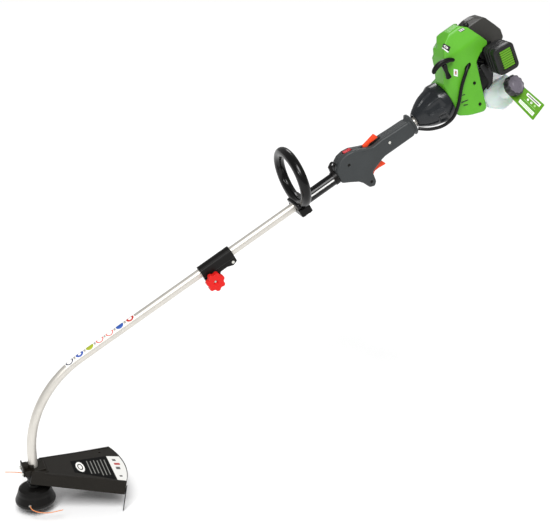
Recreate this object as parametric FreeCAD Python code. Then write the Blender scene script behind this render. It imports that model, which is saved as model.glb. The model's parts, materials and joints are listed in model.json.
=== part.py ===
import FreeCAD, Part
import math
import os
from FreeCAD import Vector

# Petrol line trimmer with a curved split shaft.
# Millimetres. Origin: centre of the harness eye. +Z up, +X towards the engine.
# Boom pieces are built along a level boom: s along it towards the engine,
# y across it, u away from the ground, all from the end of the boom's bend.
# Head pieces are built from the tube's lower end, z up the head's axis.

# ---- driving dimensions ----
TUBE_R = 12.0
TUBE_WALL = 1.6
BEND_R = 280.0
BEND_DEG = 60.0
LOWER_STRAIGHT = 42.0
BOOM_TILT = 30.0
SPLIT_S = 424.0
TUBE_END_S = 1084.0
EYE_S = 817.0
EYE_U = 36.0
EYE_R = 3.5
EYE_HALF = 4.0
RUN_GAP = 0.05
WALL = 2.5

HEAD_R = 52.0
DOME_R = 44.0
RIM_Z = -92.5
DOME_Z = -70.0
NECK_Z = -47.0
KNOB_R = 25.0
KNOB_Z = -125.0

GUARD_LENGTH = 240.0
GUARD_HALF = 100.0
GUARD_INNER_HALF = 30.0
GUARD_START = -8.0
GUARD_DEPTH = 36.0
GUARD_SLOPE = 10.0
GUARD_ARC_R = 250.0

LOOP_S = 708.0
LOOP_U = 72.0
LOOP_A = 83.0
LOOP_B = 69.0
LOOP_LEAN = 14.0
LOOP_R = 13.5

SHAFT_R = 4.0
SLEEVE_R = 16.5
GRIP_FLANGE_R = 31.0
CLUTCH_U = 3.0
SHROUD_HALF = 58.0
CRANK_R = 6.0
FLYWHEEL_R = 42.0
BORE_R = 17.0
CYL_S = 1256.0
CABLE_R = 4.5
LINE_R = 1.2

# ---- helpers ----
X = Vector(1, 0, 0)
Y = Vector(0, 1, 0)
Z = Vector(0, 0, 1)
ZERO = Vector(0, 0, 0)


def to_row(shape):
    """Moves a boom piece into the row frame."""
    moved = shape.copy()
    moved.translate(Vector(-EYE_S, 0, -EYE_U))
    moved.rotate(ZERO, Y, -BOOM_TILT)
    return moved


def head_origin():
    """Row position of the tube's lower end."""
    turn = math.radians(BEND_DEG)
    tilt = math.radians(BOOM_TILT)
    bend_x = BEND_R * (1 - math.cos(turn))
    bend_z = LOWER_STRAIGHT + BEND_R * math.sin(turn)
    end_x = -EYE_S * math.cos(tilt) + EYE_U * math.sin(tilt)
    end_z = -EYE_S * math.sin(tilt) - EYE_U * math.cos(tilt)
    return Vector(end_x - bend_x, 0, end_z - bend_z)


def head_to_row(shape):
    """Moves a head piece into the row frame."""
    moved = shape.copy()
    moved.translate(head_origin())
    return moved


def save(name, shape):
    """Writes one sub-part."""
    if not shape.isValid() or shape.Volume <= 0:
        raise ValueError(name + " is not a valid solid")
    shape.exportStep("parts/" + name + ".step")


def rod(radius, start, end):
    """Round bar between two points."""
    span = end - start
    return Part.makeCylinder(radius, span.Length, start, span)


def pipe(outer, inner, start, end):
    """Round tube between two points."""
    return rod(outer, start, end).cut(rod(inner, start, end))


def block(low, high):
    """Box between two corners."""
    size = Vector(*high) - Vector(*low)
    return Part.makeBox(size.x, size.y, size.z, Vector(*low))


def soft_block(low, high, radius):
    """Box with all its edges rounded."""
    shape = block(low, high)
    return shape.makeFillet(radius, shape.Edges)


def rounded_wire(points, radius):
    """Closed outline with each corner rounded by a tangent arc."""
    edges = []
    ends = []
    count = len(points)
    for i in range(count):
        before = points[i - 1]
        corner = points[i]
        after = points[(i + 1) % count]
        back = (before - corner).normalize()
        ahead = (after - corner).normalize()
        half = back.getAngle(ahead) / 2
        reach = radius / math.tan(half)
        longest = 0.45 * min((before - corner).Length, (after - corner).Length)
        reach = min(reach, longest)
        centre_way = (back + ahead).normalize()
        depth = reach / math.cos(half) - reach * math.tan(half)
        ends.append((corner + back * reach, corner + centre_way * depth, corner + ahead * reach))
    for i in range(count):
        first, middle, last = ends[i]
        edges.append(Part.Arc(first, middle, last).toShape())
        edges.append(Part.LineSegment(last, ends[(i + 1) % count][0]).toShape())
    return Part.Wire(edges)


def side_prism(outline, radius, y_low, y_high, shrink=0.0):
    """Outline in (s, u) carried across the boom from y_low to y_high."""
    face = Part.Face(rounded_wire([Vector(s, y_low, u) for s, u in outline], radius))
    if shrink:
        face = face.makeOffset2D(-shrink)
    return face.extrude(Vector(0, y_high - y_low, 0))


def end_prism(outline, radius, s_low, s_high, shrink=0.0):
    """Outline in (y, u) carried along the boom."""
    face = Part.Face(rounded_wire([Vector(s_low, y, u) for y, u in outline], radius))
    if shrink:
        face = face.makeOffset2D(-shrink)
    return face.extrude(Vector(s_high - s_low, 0, 0))


def turned(profile, centre, axis, across):
    """Solid of revolution of (distance along axis, radius) points."""
    points = [centre + axis * a + across * r for a, r in profile]
    face = Part.Face(Part.makePolygon(points + [points[0]]))
    return face.revolve(centre, axis, 360)


def turned_boom(profile, u=0.0):
    """Revolved piece about the boom's axis, from (s, radius) points."""
    return turned(profile, Vector(0, 0, u), X, Z)


def turned_head(profile):
    """Revolved piece about the head's axis, from (z, radius) points."""
    return turned(profile, ZERO, Z, X)


def cord_tube(points, radius):
    """Tube of straight runs joined by arcs as large as the runs allow."""
    route = [Vector(*p) for p in points]
    edges = []
    radii = []
    last = route[0]
    for i in range(1, len(route) - 1):
        back = route[i - 1] - route[i]
        ahead = route[i + 1] - route[i]
        reach = 0.45 * min(back.Length, ahead.Length)
        back.normalize()
        ahead.normalize()
        half = back.getAngle(ahead) / 2
        bend = reach * math.tan(half)
        radii.append(round(bend, 1))
        way = (back + ahead).normalize()
        start = route[i] + back * reach
        end = route[i] + ahead * reach
        middle = route[i] + way * (reach / math.cos(half) - bend)
        edges.append(Part.LineSegment(last, start).toShape())
        edges.append(Part.Arc(start, middle, end).toShape())
        last = end
    edges.append(Part.LineSegment(last, route[-1]).toShape())
    path = Part.Wire(edges)
    circle = Part.Wire(Part.Circle(route[0], route[1] - route[0], radius).toShape())
    solid = path.makePipeShell([circle], True, False)
    print("cord length", round(path.Length, 1), "arc radii", radii)
    print("volume over section times length", round(solid.Volume / (path.Length * math.pi * radius ** 2), 4))
    return solid


def halves(shape, gap=0.1):
    """Near (y < 0) and far (y > 0) halves of a shell."""
    box = shape.BoundBox
    near = block((box.XMin - 1, box.YMin - 1, box.ZMin - 1), (box.XMax + 1, -gap / 2, box.ZMax + 1))
    far = block((box.XMin - 1, gap / 2, box.ZMin - 1), (box.XMax + 1, box.YMax + 1, box.ZMax + 1))
    return shape.common(near), shape.common(far)


def screw(head_centre, way, head_r, head_h, shank_r, length):
    """Pan head screw whose shank runs along way."""
    head = rod(head_r, head_centre, head_centre + way * head_h)
    shank = rod(shank_r, head_centre + way * head_h, head_centre + way * (head_h + length))
    return head.fuse(shank)


# ---- head end, built about the head's axis ----
SOCKET_Z = -22.0
CORD_Z = -88.0
LID_Z = -110.0
ARBOR_R = 5.0
BEARING_R = 11.0


def bend_sweep(radius_out, radius_in, low, high_s):
    """Straight, bend and straight of the lower boom, in the head's frame."""
    ring = Part.Face(Part.Wire(Part.Circle(Vector(0, 0, LOWER_STRAIGHT), Z, radius_out).toShape()))
    if radius_in:
        hole = Part.Face(Part.Wire(Part.Circle(Vector(0, 0, LOWER_STRAIGHT), Z, radius_in).toShape()))
        ring = ring.cut(hole)
    foot = ring.extrude(Vector(0, 0, low - LOWER_STRAIGHT))
    centre = Vector(BEND_R, 0, LOWER_STRAIGHT)
    bend = ring.revolve(centre, Y, BEND_DEG)
    turn = math.radians(BEND_DEG)
    start = centre + Vector(-BEND_R * math.cos(turn), 0, BEND_R * math.sin(turn))
    way = Vector(math.sin(turn), 0, math.cos(turn))
    straight = rod(radius_out, start, start + way * high_s)
    if radius_in:
        straight = straight.cut(rod(radius_in, start, start + way * high_s))
    return foot.fuse(bend).fuse(straight).removeSplitter()


def lower_tube():
    button_hole = rod(4.3, Vector(BUTTON_S, 0, 0), Vector(BUTTON_S, 20, 0))
    button_hole.translate(Vector(-EYE_S, 0, -EYE_U))
    button_hole.rotate(ZERO, Y, -BOOM_TILT)
    button_hole.translate(head_origin() * -1)
    return bend_sweep(TUBE_R, TUBE_R - TUBE_WALL, SOCKET_Z, SPLIT_S).cut(button_hole)


def flexible_drive_cable():
    return bend_sweep(3.0, 0, SOCKET_Z + 1, SPLIT_S + 10)


def head_bearing_housing():
    profile = [(NECK_Z, 9), (NECK_Z, 15.5), (-44, 18), (-41, 18), (-40, 16.5), (-31, 16.5), (-30, 19.5),
        (-16.2, 19.5)]
    outer = turned_head(profile + [(-16.2, 9)])
    inner = rod(TUBE_R + RUN_GAP, Vector(0, 0, SOCKET_Z), Vector(0, 0, 0))
    seats = rod(BEARING_R, Vector(0, 0, NECK_Z - 1), Vector(0, 0, -25))
    return outer.cut(inner).cut(seats).cut(rod(9.5, Vector(0, 0, -25), Vector(0, 0, SOCKET_Z)))


def head_bearings():
    upper = pipe(BEARING_R - RUN_GAP, ARBOR_R + RUN_GAP, Vector(0, 0, -32), Vector(0, 0, -25.2))
    lower = pipe(BEARING_R - RUN_GAP, ARBOR_R + RUN_GAP, Vector(0, 0, NECK_Z + 0.5), Vector(0, 0, -39.5))
    return Part.makeCompound([upper, lower])


def output_arbor():
    shaft = rod(ARBOR_R, Vector(0, 0, -74), Vector(0, 0, -24.5))
    collar = rod(8.5, Vector(0, 0, NECK_Z - 3.5), Vector(0, 0, NECK_Z - 0.6))
    return shaft.fuse(collar)


def guard_outline(inset):
    """Plan of the guard: straight sides and an outer arc."""
    half = GUARD_HALF - inset
    inner_half = GUARD_INNER_HALF - inset
    far_x = GUARD_LENGTH - 16 - inset
    a = Vector(GUARD_START, -inner_half, 0)
    b = Vector(far_x, -half, 0)
    c = Vector(far_x, half, 0)
    d = Vector(GUARD_START, inner_half, 0)
    crown = Vector(far_x + GUARD_ARC_R - math.sqrt(GUARD_ARC_R ** 2 - half ** 2), 0, 0)
    edges = [Part.LineSegment(a, b).toShape(), Part.Arc(b, crown, c).toShape()]
    edges.append(Part.LineSegment(c, d).toShape())
    edges.append(Part.LineSegment(d, a).toShape())
    return Part.Face(Part.Wire(edges))


def guard_shield():
    shell = guard_outline(0).extrude(Vector(0, 0, -GUARD_DEPTH))
    hollow = guard_outline(WALL).extrude(Vector(0, 0, -GUARD_DEPTH))
    hollow.translate(Vector(0, 0, -WALL))
    shell = shell.cut(hollow)
    for i in range(3):
        rib_x = 70 + 45 * i
        rib = block((rib_x, -30 - 12 * i, -8), (rib_x + 2, 30 + 12 * i, -WALL + 0.5))
        shell = shell.fuse(rib)
    shell.rotate(ZERO, Y, GUARD_SLOPE)
    shell = shell.cut(block((GUARD_START - 10, -GUARD_HALF, 0), (0, GUARD_HALF, 10)))
    neck = soft_block((-25, -24, -16), (30, 24, 0), 2)
    pad = block((18, -34, -16), (34, 34, -4.5))
    tube_hole = rod(TUBE_R + RUN_GAP, Vector(0, 0, -30), Vector(0, 0, 30))
    slot = block((-30, -1.5, -30), (0, 1.5, 5))
    shape = shell.fuse(neck).fuse(pad).cut(tube_hole).cut(slot)
    for y in (-18, 18):
        shape = shape.cut(rod(2.3, Vector(-30, y, -8), Vector(22, y, -8)))
    for x, y in ((188, 66), (190, 82)):
        shape = shape.cut(rod(3.2, Vector(x, y, -60), Vector(x, y, 0)))
    return shape


def guard_clamp():
    plate = soft_block((-29, -24, -15), (-25.1, 24, 10), 1.5)
    lug = pipe(TUBE_R + 4, TUBE_R + RUN_GAP, Vector(0, 0, 0.3), Vector(0, 0, 10))
    lug = lug.cut(block((0, -20, 0), (20, 20, 12)))
    web = block((-26, -12, 0.3), (-14, 12, 10)).cut(rod(TUBE_R + 1, Vector(0, 0, 0), Vector(0, 0, 12)))
    shape = plate.fuse(lug).fuse(web)
    for y in (-18, 18):
        shape = shape.cut(rod(2.3, Vector(-30, y, -8), Vector(-20, y, -8)))
    return shape


def guard_bolts():
    bolts = [screw(Vector(-32, y, -8), X, 4.5, 3, 2.2, 46) for y in (-18, 18)]
    return Part.makeCompound(bolts)


BLADE_Y = 87.0


def line_cutter_blade():
    """Flat blade behind the guard's outer edge, hanging below it."""
    blade = block((0.3, -11, -84), (2.3, 11, -22))
    tip = block((-1, 2, -90), (4, 14, -74))
    tip.rotate(Vector(0, 2, -74), X, 25)
    blade = blade.cut(tip)
    arc_foot = GUARD_LENGTH - 16
    arc_half = math.sqrt(GUARD_ARC_R ** 2 - GUARD_HALF ** 2)
    arc_x = arc_foot + math.sqrt(GUARD_ARC_R ** 2 - BLADE_Y ** 2) - arc_half
    blade.rotate(ZERO, Z, -math.degrees(math.asin(BLADE_Y / GUARD_ARC_R)))
    blade.translate(Vector(arc_x, -BLADE_Y, 0))
    blade.rotate(ZERO, Y, GUARD_SLOPE)
    return blade


def head_upper_housing():
    t = WALL
    outline = [(-50.8, 0), (-50.8, 13), (-56, 15), (-58, 34), (-62, 41), (DOME_Z, DOME_R), (-76, 45.5)]
    outline += [(RIM_Z, HEAD_R), (-97, HEAD_R), (-97, HEAD_R - t), (RIM_Z, HEAD_R - t), (-76, 42.5)]
    outline += [(DOME_Z, DOME_R - t), (-63, 37), (-60, 16), (-60, 0)]
    shape = turned_head(outline).cut(rod(ARBOR_R + 0.02, Vector(0, 0, -80), Vector(0, 0, -40)))
    for angle in (-115, 65):
        way = Vector(math.cos(math.radians(angle)), math.sin(math.radians(angle)), 0)
        hole = rod(3.5, way * 40 + Z * CORD_Z, way * 60 + Z * CORD_Z)
        shape = shape.cut(hole)
    return shape


def head_lower_cover():
    outline = [(-97.2, HEAD_R - 5), (-97.2, HEAD_R), (-100, HEAD_R - 1), (-106, 46), (LID_Z, 38)]
    outline += [(LID_Z, KNOB_R + 1.5), (LID_Z + WALL, KNOB_R + 1.5), (LID_Z + WALL, 38), (-104, 44),
        (-100, 47)]
    return turned_head(outline)


def spool():
    profile = [(-75, 12.5), (-75, 38), (-77, 38), (-77, 18), (-100, 18), (-100, 38), (-102, 38), (-102, 12.5)]
    return turned_head(profile)


def bump_knob():
    profile = [(KNOB_Z, 0), (KNOB_Z, 15), (-122, 21), (-116, 24.3), (-108, KNOB_R), (-103, KNOB_R)]
    profile += [(-103, 11.8), (-80, 11.8), (-80, 8), (-103, 8), (-110, 8), (-110, 0)]
    shape = turned_head(profile)
    for i in range(6):
        notch = rod(3.5, Vector(KNOB_R + 1.5, 0, -116), Vector(KNOB_R + 1.5, 0, -102))
        notch.rotate(ZERO, Z, 60 * i)
        shape = shape.cut(notch)
    return shape


def bump_spring():
    """Coil spring between the arbor's hub and the spool's carrier."""
    helix = Part.makeHelix(3.0, 12.0, 9.6)
    helix.translate(Vector(0, 0, -72.8))
    start = Vector(9.6, 0, -72.8)
    circle = Part.Wire(Part.Circle(start, Y, 0.8).toShape())
    return Part.Wire(helix.Edges).makePipeShell([circle], True, True)


# Line tails: eyelet, then the free line, in the head's frame.
TAIL_NEAR = [(-21.5, -45.5, -88), (-22, -56, -90), (-13, -66, -94), (2, -74, -97), (20, -80, -97.5),
    (38, -84, -95), (55, -87, -92)]
TAIL_FAR = [(21.5, 45.5, -88), (25, 60, -88), (25, 77, -87), (16, 95, -86), (2, 111, -85.5),
    (-16, 124, -85), (-36, 134, -84)]
TAIL_FAR += [(-56, 141, -84)]

# ---- boom, built along the level boom ----
BUTTON_S = 410.0
COUPLER_LOW = 374.0
COUPLER_HIGH = 470.0
COUPLER_R = 17.0
KNOB_S = 392.0
KNOB_U = -31.0
SCREW_R = 3.9


def coupler_shells():
    """Two shells that clamp the joint of the tubes, with a lug for the knob's bolt."""
    barrel = pipe(COUPLER_R, TUBE_R + RUN_GAP, Vector(COUPLER_LOW, 0, 0), Vector(COUPLER_HIGH, 0, 0))
    outline = [(COUPLER_LOW, -8), (COUPLER_HIGH, -8), (COUPLER_HIGH, -25), (456, -30), (440, -24), (418, -24)]
    outline += [(410, -41), (COUPLER_LOW, -41)]
    lug = side_prism(outline, 4, -14, 14)
    cheeks = block((COUPLER_LOW, -COUPLER_R, -12), (COUPLER_HIGH, COUPLER_R, 12))
    cheeks = cheeks.common(rod(COUPLER_R + 2.5, Vector(COUPLER_LOW, 0, 0), Vector(COUPLER_HIGH, 0, 0)))
    shape = barrel.fuse(cheeks).fuse(lug)
    shape = shape.cut(rod(TUBE_R + RUN_GAP, Vector(COUPLER_LOW - 1, 0, 0), Vector(COUPLER_HIGH + 1, 0, 0)))
    shape = shape.cut(rod(4.2, Vector(KNOB_S, -40, KNOB_U), Vector(KNOB_S, 40, KNOB_U)))
    shape = shape.cut(rod(4.3, Vector(BUTTON_S, 5, 0), Vector(BUTTON_S, 30, 0)))
    shape = shape.cut(block((COUPLER_LOW - 1, 5, -4.4), (BUTTON_S, 30, 4.4)))
    shape = shape.cut(rod(SCREW_R - 1.5, Vector(459, -30, -21), Vector(459, 30, -21)))
    return halves(shape, 0.6)


def coupler_knob():
    """Lobed hand knob on the near side."""
    body = rod(21, Vector(KNOB_S, -36, KNOB_U), Vector(KNOB_S, -20, KNOB_U))
    for i in range(7):
        angle = 2 * math.pi * i / 7
        centre = Vector(KNOB_S + 18.5 * math.cos(angle), -36, KNOB_U + 18.5 * math.sin(angle))
        body = body.fuse(rod(7, centre, centre + Y * 16))
    body = body.fuse(rod(9, Vector(KNOB_S, -20, KNOB_U), Vector(KNOB_S, -14.5, KNOB_U)))
    body = body.removeSplitter()
    recess = rod(6, Vector(KNOB_S, -37, KNOB_U), Vector(KNOB_S, -31, KNOB_U))
    return body.cut(recess).cut(rod(3.05, Vector(KNOB_S, -31, KNOB_U), Vector(KNOB_S, 0, KNOB_U)))


def knob_bolt():
    shank = rod(3.0, Vector(KNOB_S, -29, KNOB_U), Vector(KNOB_S, 15, KNOB_U))
    return shank.fuse(rod(8, Vector(KNOB_S, 14.2, KNOB_U), Vector(KNOB_S, 18, KNOB_U)))


def locating_button():
    button = rod(4.0, Vector(BUTTON_S, 11, 0), Vector(BUTTON_S, 21, 0))
    button = button.makeFillet(1.5, [e for e in button.Edges if abs(e.BoundBox.YMin - 21) < 0.01])
    return button.fuse(rod(5.5, Vector(BUTTON_S, 7.5, 0), Vector(BUTTON_S, 8.5, 0))).fuse(
        rod(4.0, Vector(BUTTON_S, 8, 0), Vector(BUTTON_S, 12, 0)))


def case_screws():
    """Identical pan head screws of the coupler, the handle and the shroud."""
    screws = [screw(Vector(459, -16.7, -21), Y, SCREW_R, 2.5, 2.0, 22)]
    for s, y, u, length in HANDLE_SCREWS:
        screws.append(screw(Vector(s, y, u), Y, SCREW_R, 2.5, 2.0, length))
    for s, u in SHROUD_SCREWS:
        screws.append(screw(Vector(s, -SHROUD_HALF - 1.45, u), Y, SCREW_R, 2.5, 2.0, 4))
    return Part.makeCompound(screws)


HANDLE_SCREWS = [(975, -19.5, 1, 4.2), (850, -19.5, 16, 20), (882, -19.5, -62, 20)]
SHROUD_SCREWS = [(1240, 20), (1229, -40)]


def upper_tube():
    return pipe(TUBE_R, TUBE_R - TUBE_WALL, Vector(SPLIT_S + 0.5, 0, 0), Vector(TUBE_END_S, 0, 0))


def upper_drive_shaft():
    shaft = rod(SHAFT_R, Vector(SPLIT_S + 2, 0, 0), Vector(1119, 0, 0))
    socket = rod(6, Vector(SPLIT_S + 2, 0, 0), Vector(SPLIT_S + 30, 0, 0))
    bore = rod(3.4, Vector(SPLIT_S + 1, 0, 0), Vector(SPLIT_S + 12, 0, 0))
    return shaft.fuse(socket).cut(bore)


def half_ring(oval, low):
    """Half of the ring's round bar."""
    arc = Part.ArcOfEllipse(oval, low, low + math.pi)
    circle = Part.Wire(Part.Circle(arc.value(low), arc.tangent(low)[0], LOOP_R).toShape())
    return Part.Wire(arc.toShape()).makePipeShell([circle], True, False)


def loop_handle():
    """Oval ring leaning towards the engine, one piece with its upper clamp half."""
    lean = math.radians(LOOP_LEAN)
    centre = Vector(LOOP_S, 0, LOOP_U)
    tall = Vector(math.sin(lean), 0, math.cos(lean))
    oval = Part.Ellipse(centre + Y * LOOP_A, centre - tall * LOOP_B, centre)
    ring = half_ring(oval, 0).fuse(half_ring(oval, math.pi))
    saddle = soft_block((672, -36, 0), (708, 36, 14), 3)
    shape = ring.fuse(saddle)
    shape = shape.cut(block((640, -100, -40), (740, 100, 0.3)))
    return shape.cut(rod(TUBE_R + RUN_GAP, Vector(640, 0, 0), Vector(740, 0, 0)))


def clamp_holes():
    holes = [rod(3.1, Vector(s, y, -40), Vector(s, y, 12)) for s in (681, 697) for y in (-27, 27)]
    return Part.makeCompound(holes)


def loop_clamp():
    shape = soft_block((671, -40, -22), (704, 38, -0.3), 3)
    shape = shape.cut(rod(TUBE_R + RUN_GAP, Vector(640, 0, 0), Vector(740, 0, 0)))
    return shape.cut(clamp_holes())


def loop_bolts():
    bolts = [screw(Vector(s, y, -26), Z, 5.0, 4, 3.0, 21.6) for s in (681, 697) for y in (-27, 27)]
    return Part.makeCompound(bolts)


SLOT_TURN = 14.0


def grip_sleeve():
    """Sleeve on the tube, open along a slot on the near side."""
    sleeve = pipe(SLEEVE_R, TUBE_R + RUN_GAP, Vector(713, 0, 0), Vector(799.5, 0, 0))
    slot = block((712, -20, -2.6), (801, -TUBE_R + 1, 2.6))
    slot.rotate(ZERO, X, -SLOT_TURN)
    return sleeve.cut(slot)


def hanger_clamp():
    """Band round the tube with the harness eye above it."""
    band = pipe(18.5, TUBE_R + RUN_GAP, Vector(800, 0, 0), Vector(810, 0, 0))
    ear = side_prism([(801, 14), (810, 14), (810.4, 29), (817, 31), (813, 42), (803, 35)], 1, -EYE_HALF,
        EYE_HALF)
    eye = rod(7.0, Vector(EYE_S, -EYE_HALF, EYE_U), Vector(EYE_S, EYE_HALF, EYE_U))
    shape = band.fuse(ear).fuse(eye)
    shape = shape.cut(rod(EYE_R, Vector(EYE_S, -9, EYE_U), Vector(EYE_S, 9, EYE_U)))
    return shape.cut(rod(TUBE_R + RUN_GAP, Vector(790, 0, 0), Vector(820, 0, 0)))


HANDLE_SIDE = [(811, -17), (830, -28), (852, -42), (862, -54), (871, -74), (885, -80), (895, -70), (898, -42)]
HANDLE_SIDE += [(935, -28), (948, -25), (1048, -25), (1048, 19), (1000, 20.5), (960, 22.5), (930, 20),
    (905, 30)]
HANDLE_SIDE += [(878, 43), (858, 46), (840, 43), (828, 36), (811, 17)]
HANDLE_HALF = 21.5
HANDLE_HOLLOW = [(816, -14), (832, -20), (850, -28), (872, -31), (900, -28), (925, -20), (950, -17),
    (1044, -16)]
HANDLE_HOLLOW += [(1044, 12), (1000, 14), (950, 15), (925, 15), (900, 24), (872, 33), (850, 34),
    (832, 28), (816, 14)]
TRIGGER_S = 906.0
TRIGGER_U = -27.0
LOCK_S = 912.0
LOCK_U = 19.5
SWITCH_S = 868.0
SWITCH_U = 36.0


def rear_handle(side):
    """Half of the hollow pistol-shaped handle; side is -1 near, 1 far."""
    room = block((800, 0.05, -100), (1100, 60, 100))
    if side < 0:
        room = block((800, -60, -100), (1100, -0.05, 100))
    outer = side_prism(HANDLE_SIDE, 8, -HANDLE_HALF, HANDLE_HALF)
    outer = outer.makeFillet(7, [e for e in outer.Edges if abs(abs(e.CenterOfMass.y) - HANDLE_HALF) < 0.1])
    flange = turned_boom([(1042, 20), (1050, 26), (1052, GRIP_FLANGE_R), (1058, GRIP_FLANGE_R - 2),
        (1058, 0), (1042, 0)])
    shape = outer.fuse(flange).common(room)
    inner = side_prism(HANDLE_HOLLOW, 4, -13, 13)
    pocket = side_prism([(864, -30), (870, -52), (876, -72), (885, -76), (890, -68), (893, -44),
        (895, -30)], 4, -10, 10)
    shape = shape.cut(inner).cut(pocket)
    for s in (816, 965, 1036):
        shape = shape.fuse(block((s, -13.5, -17), (s + 5, 13.5, 14.5)).common(room))
    shape = shape.cut(rod(TUBE_R + RUN_GAP, Vector(800, 0, 0), Vector(1070, 0, 0)))
    shape = shape.cut(block((888, -6, -75), (952, 6, -14)))
    shape = shape.cut(block((904, -6, 13), (962, 6, 50)))
    shape = shape.cut(block((SWITCH_S - 13, -7, 30), (SWITCH_S + 13, 7, 60)))
    for s, u in ((TRIGGER_S, TRIGGER_U), (LOCK_S, LOCK_U)):
        shape = shape.cut(rod(2.05, Vector(s, -17, u), Vector(s, 17, u)))
    shape = shape.cut(rod(2.05, Vector(SWITCH_S, -9.5, SWITCH_U), Vector(SWITCH_S, 9.5, SWITCH_U)))
    for s, y, u, _ in HANDLE_SCREWS:
        shape = shape.cut(rod(SCREW_R + 0.2, Vector(s, y - 6, u), Vector(s, y + 2.6, u)))
        shape = shape.cut(rod(2.1, Vector(s, y, u), Vector(s, y + 25, u)))
    return shape


def throttle_trigger():
    """Curved trigger that swings up into the handle about its front pin."""
    outline = [(898, -24), (895, -44), (893.5, -58), (897, -57), (907, -49), (921, -48.5), (934, -50),
        (944, -51)]
    outline += [(938, -38), (933, -31), (918, -27), (910, -21)]
    shape = side_prism(outline, 2, -5.5, 5.5)
    shape = shape.fuse(rod(5, Vector(TRIGGER_S, -5.5, TRIGGER_U), Vector(TRIGGER_S, 5.5, TRIGGER_U)))
    return shape.cut(rod(2.05, Vector(TRIGGER_S, -9, TRIGGER_U), Vector(TRIGGER_S, 9, TRIGGER_U)))


def throttle_lockout():
    """Palm lever that swings down into the handle about its front pin."""
    outline = [(908, 20), (911, 30), (930, 34), (953, 39.5), (958, 27), (950, 26), (930, 26), (918, 21)]
    shape = side_prism(outline, 1.5, -5.5, 5.5)
    shape = shape.fuse(rod(4, Vector(LOCK_S, -5.5, LOCK_U), Vector(LOCK_S, 5.5, LOCK_U)))
    return shape.cut(rod(2.05, Vector(LOCK_S, -9, LOCK_U), Vector(LOCK_S, 9, LOCK_U)))


def stop_switch():
    """Rocker in the handle's top."""
    rocker = side_prism([(857, 35), (857, 47.5), (868, 45.5), (879, 45.5), (879, 35), (868, 32)], 1.2,
        -6.5, 6.5)
    return rocker.fuse(rod(2.0, Vector(SWITCH_S, -9, SWITCH_U), Vector(SWITCH_S, 9, SWITCH_U)))


def handle_pins():
    places = ((TRIGGER_S, TRIGGER_U), (LOCK_S, LOCK_U))
    pins = [rod(2.0, Vector(s, -15, u), Vector(s, 15, u)) for s, u in places]
    return Part.makeCompound(pins)


# Throttle cable conduit, from the handle's flange to the carburettor.
CONDUIT = [(1062.5, -14, -16), (1084, -26, -31), (1114, -46, -37), (1146, -60, -28), (1174, -64, -2)]
CONDUIT += [(1203, -64, 38), (1232, -63, 64), (1254, -50, 74), (1278, -43, 64), (1294, -41, 49)]

# ---- engine ----
DRUM_LOW = 1119.0
SHROUD_SIDE = [(1166, -38), (1166, 60), (1180, 94), (1194, 124), (1216, 152), (1243, 167), (1276, 168),
    (1294, 155), (1323, 92)]
SHROUD_SIDE += [(1290, 80), (1270, 66), (1256, 4), (1240, -71), (1214, -60), (1190, -50)]
SHROUD_END = [(-58, -78), (58, -78), (58, 102), (44, 137), (8, 163), (-12, 169), (-34, 170), (-58, 120)]
SHROUD_PLAN = [(1160, -46), (1192, -58), (1340, -58), (1340, 58), (1200, 58), (1166, 42), (1160, 42)]
# Plan outlines that the far front of the shroud gives up, each above its own height.
FRONT_CUTS = [([(1140, 0), (1180, 0), (1238, 62), (1140, 62)], 44),
    ([(1140, 2), (1192, 2), (1262, 62), (1140, 62)], 118)]
FRONT_CUTS += [([(1140, -14), (1203, -14), (1270, 62), (1140, 62)], 138)]
CRANKCASE_LOW = 1222.0
CRANKCASE_HIGH = 1290.0


def plan_prism(outline, radius, u_low, u_high, shrink=0.0):
    """Outline in (s, y) carried up."""
    face = Part.Face(rounded_wire([Vector(s, y, u_low) for s, y in outline], radius))
    if shrink:
        face = face.makeOffset2D(-shrink)
    return face.extrude(Vector(0, 0, u_high - u_low))


def clutch_housing():
    """Tapered housing between the tube and the engine, ribbed flange at its back."""
    outer = [(1068, 16), (1068, 21), (1078, 27), (1090, 35), (1106, 44), (1124, 50), (1138, 53),
        (1140, 55), (1165.6, 53)]
    inner = [(1165.6, 49), (1140, 49), (1122, 46), (1106, 40), (1092, 31), (1090, 16)]
    shape = turned_boom(outer + inner, CLUTCH_U)
    plug = turned_boom([(1068, 0), (1068, 20), (1090, 20), (1090, 0)], 0)
    shape = shape.fuse(plug).cut(rod(TUBE_R + RUN_GAP, Vector(1060, 0, 0), Vector(TUBE_END_S + 0.5, 0, 0)))
    shape = shape.cut(rod(SHAFT_R + RUN_GAP, Vector(1080, 0, 0), Vector(1092, 0, 0)))
    return shape


def clutch_drum():
    cup = turned_boom([(DRUM_LOW, 4.0), (DRUM_LOW, 38), (1144, 38), (1144, 35.5), (1122, 35.5), (1122, 9),
        (1122, 4.0)])
    hub = pipe(9, SHAFT_R, Vector(1105, 0, 0), Vector(DRUM_LOW + 1, 0, 0))
    return cup.fuse(hub).cut(rod(SHAFT_R, Vector(1100, 0, 0), Vector(1125, 0, 0)))


def clutch_shoes():
    """Two shoes on their carrier, joined by the carrier plate."""
    ring = pipe(34.6, 22, Vector(1126, 0, 0), Vector(1141, 0, 0))
    ring = ring.cut(block((1120, -4, -40), (1145, 4, 40)))
    plate = pipe(24, CRANK_R, Vector(1133, 0, 0), Vector(1141, 0, 0))
    return ring.fuse(plate)


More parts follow.
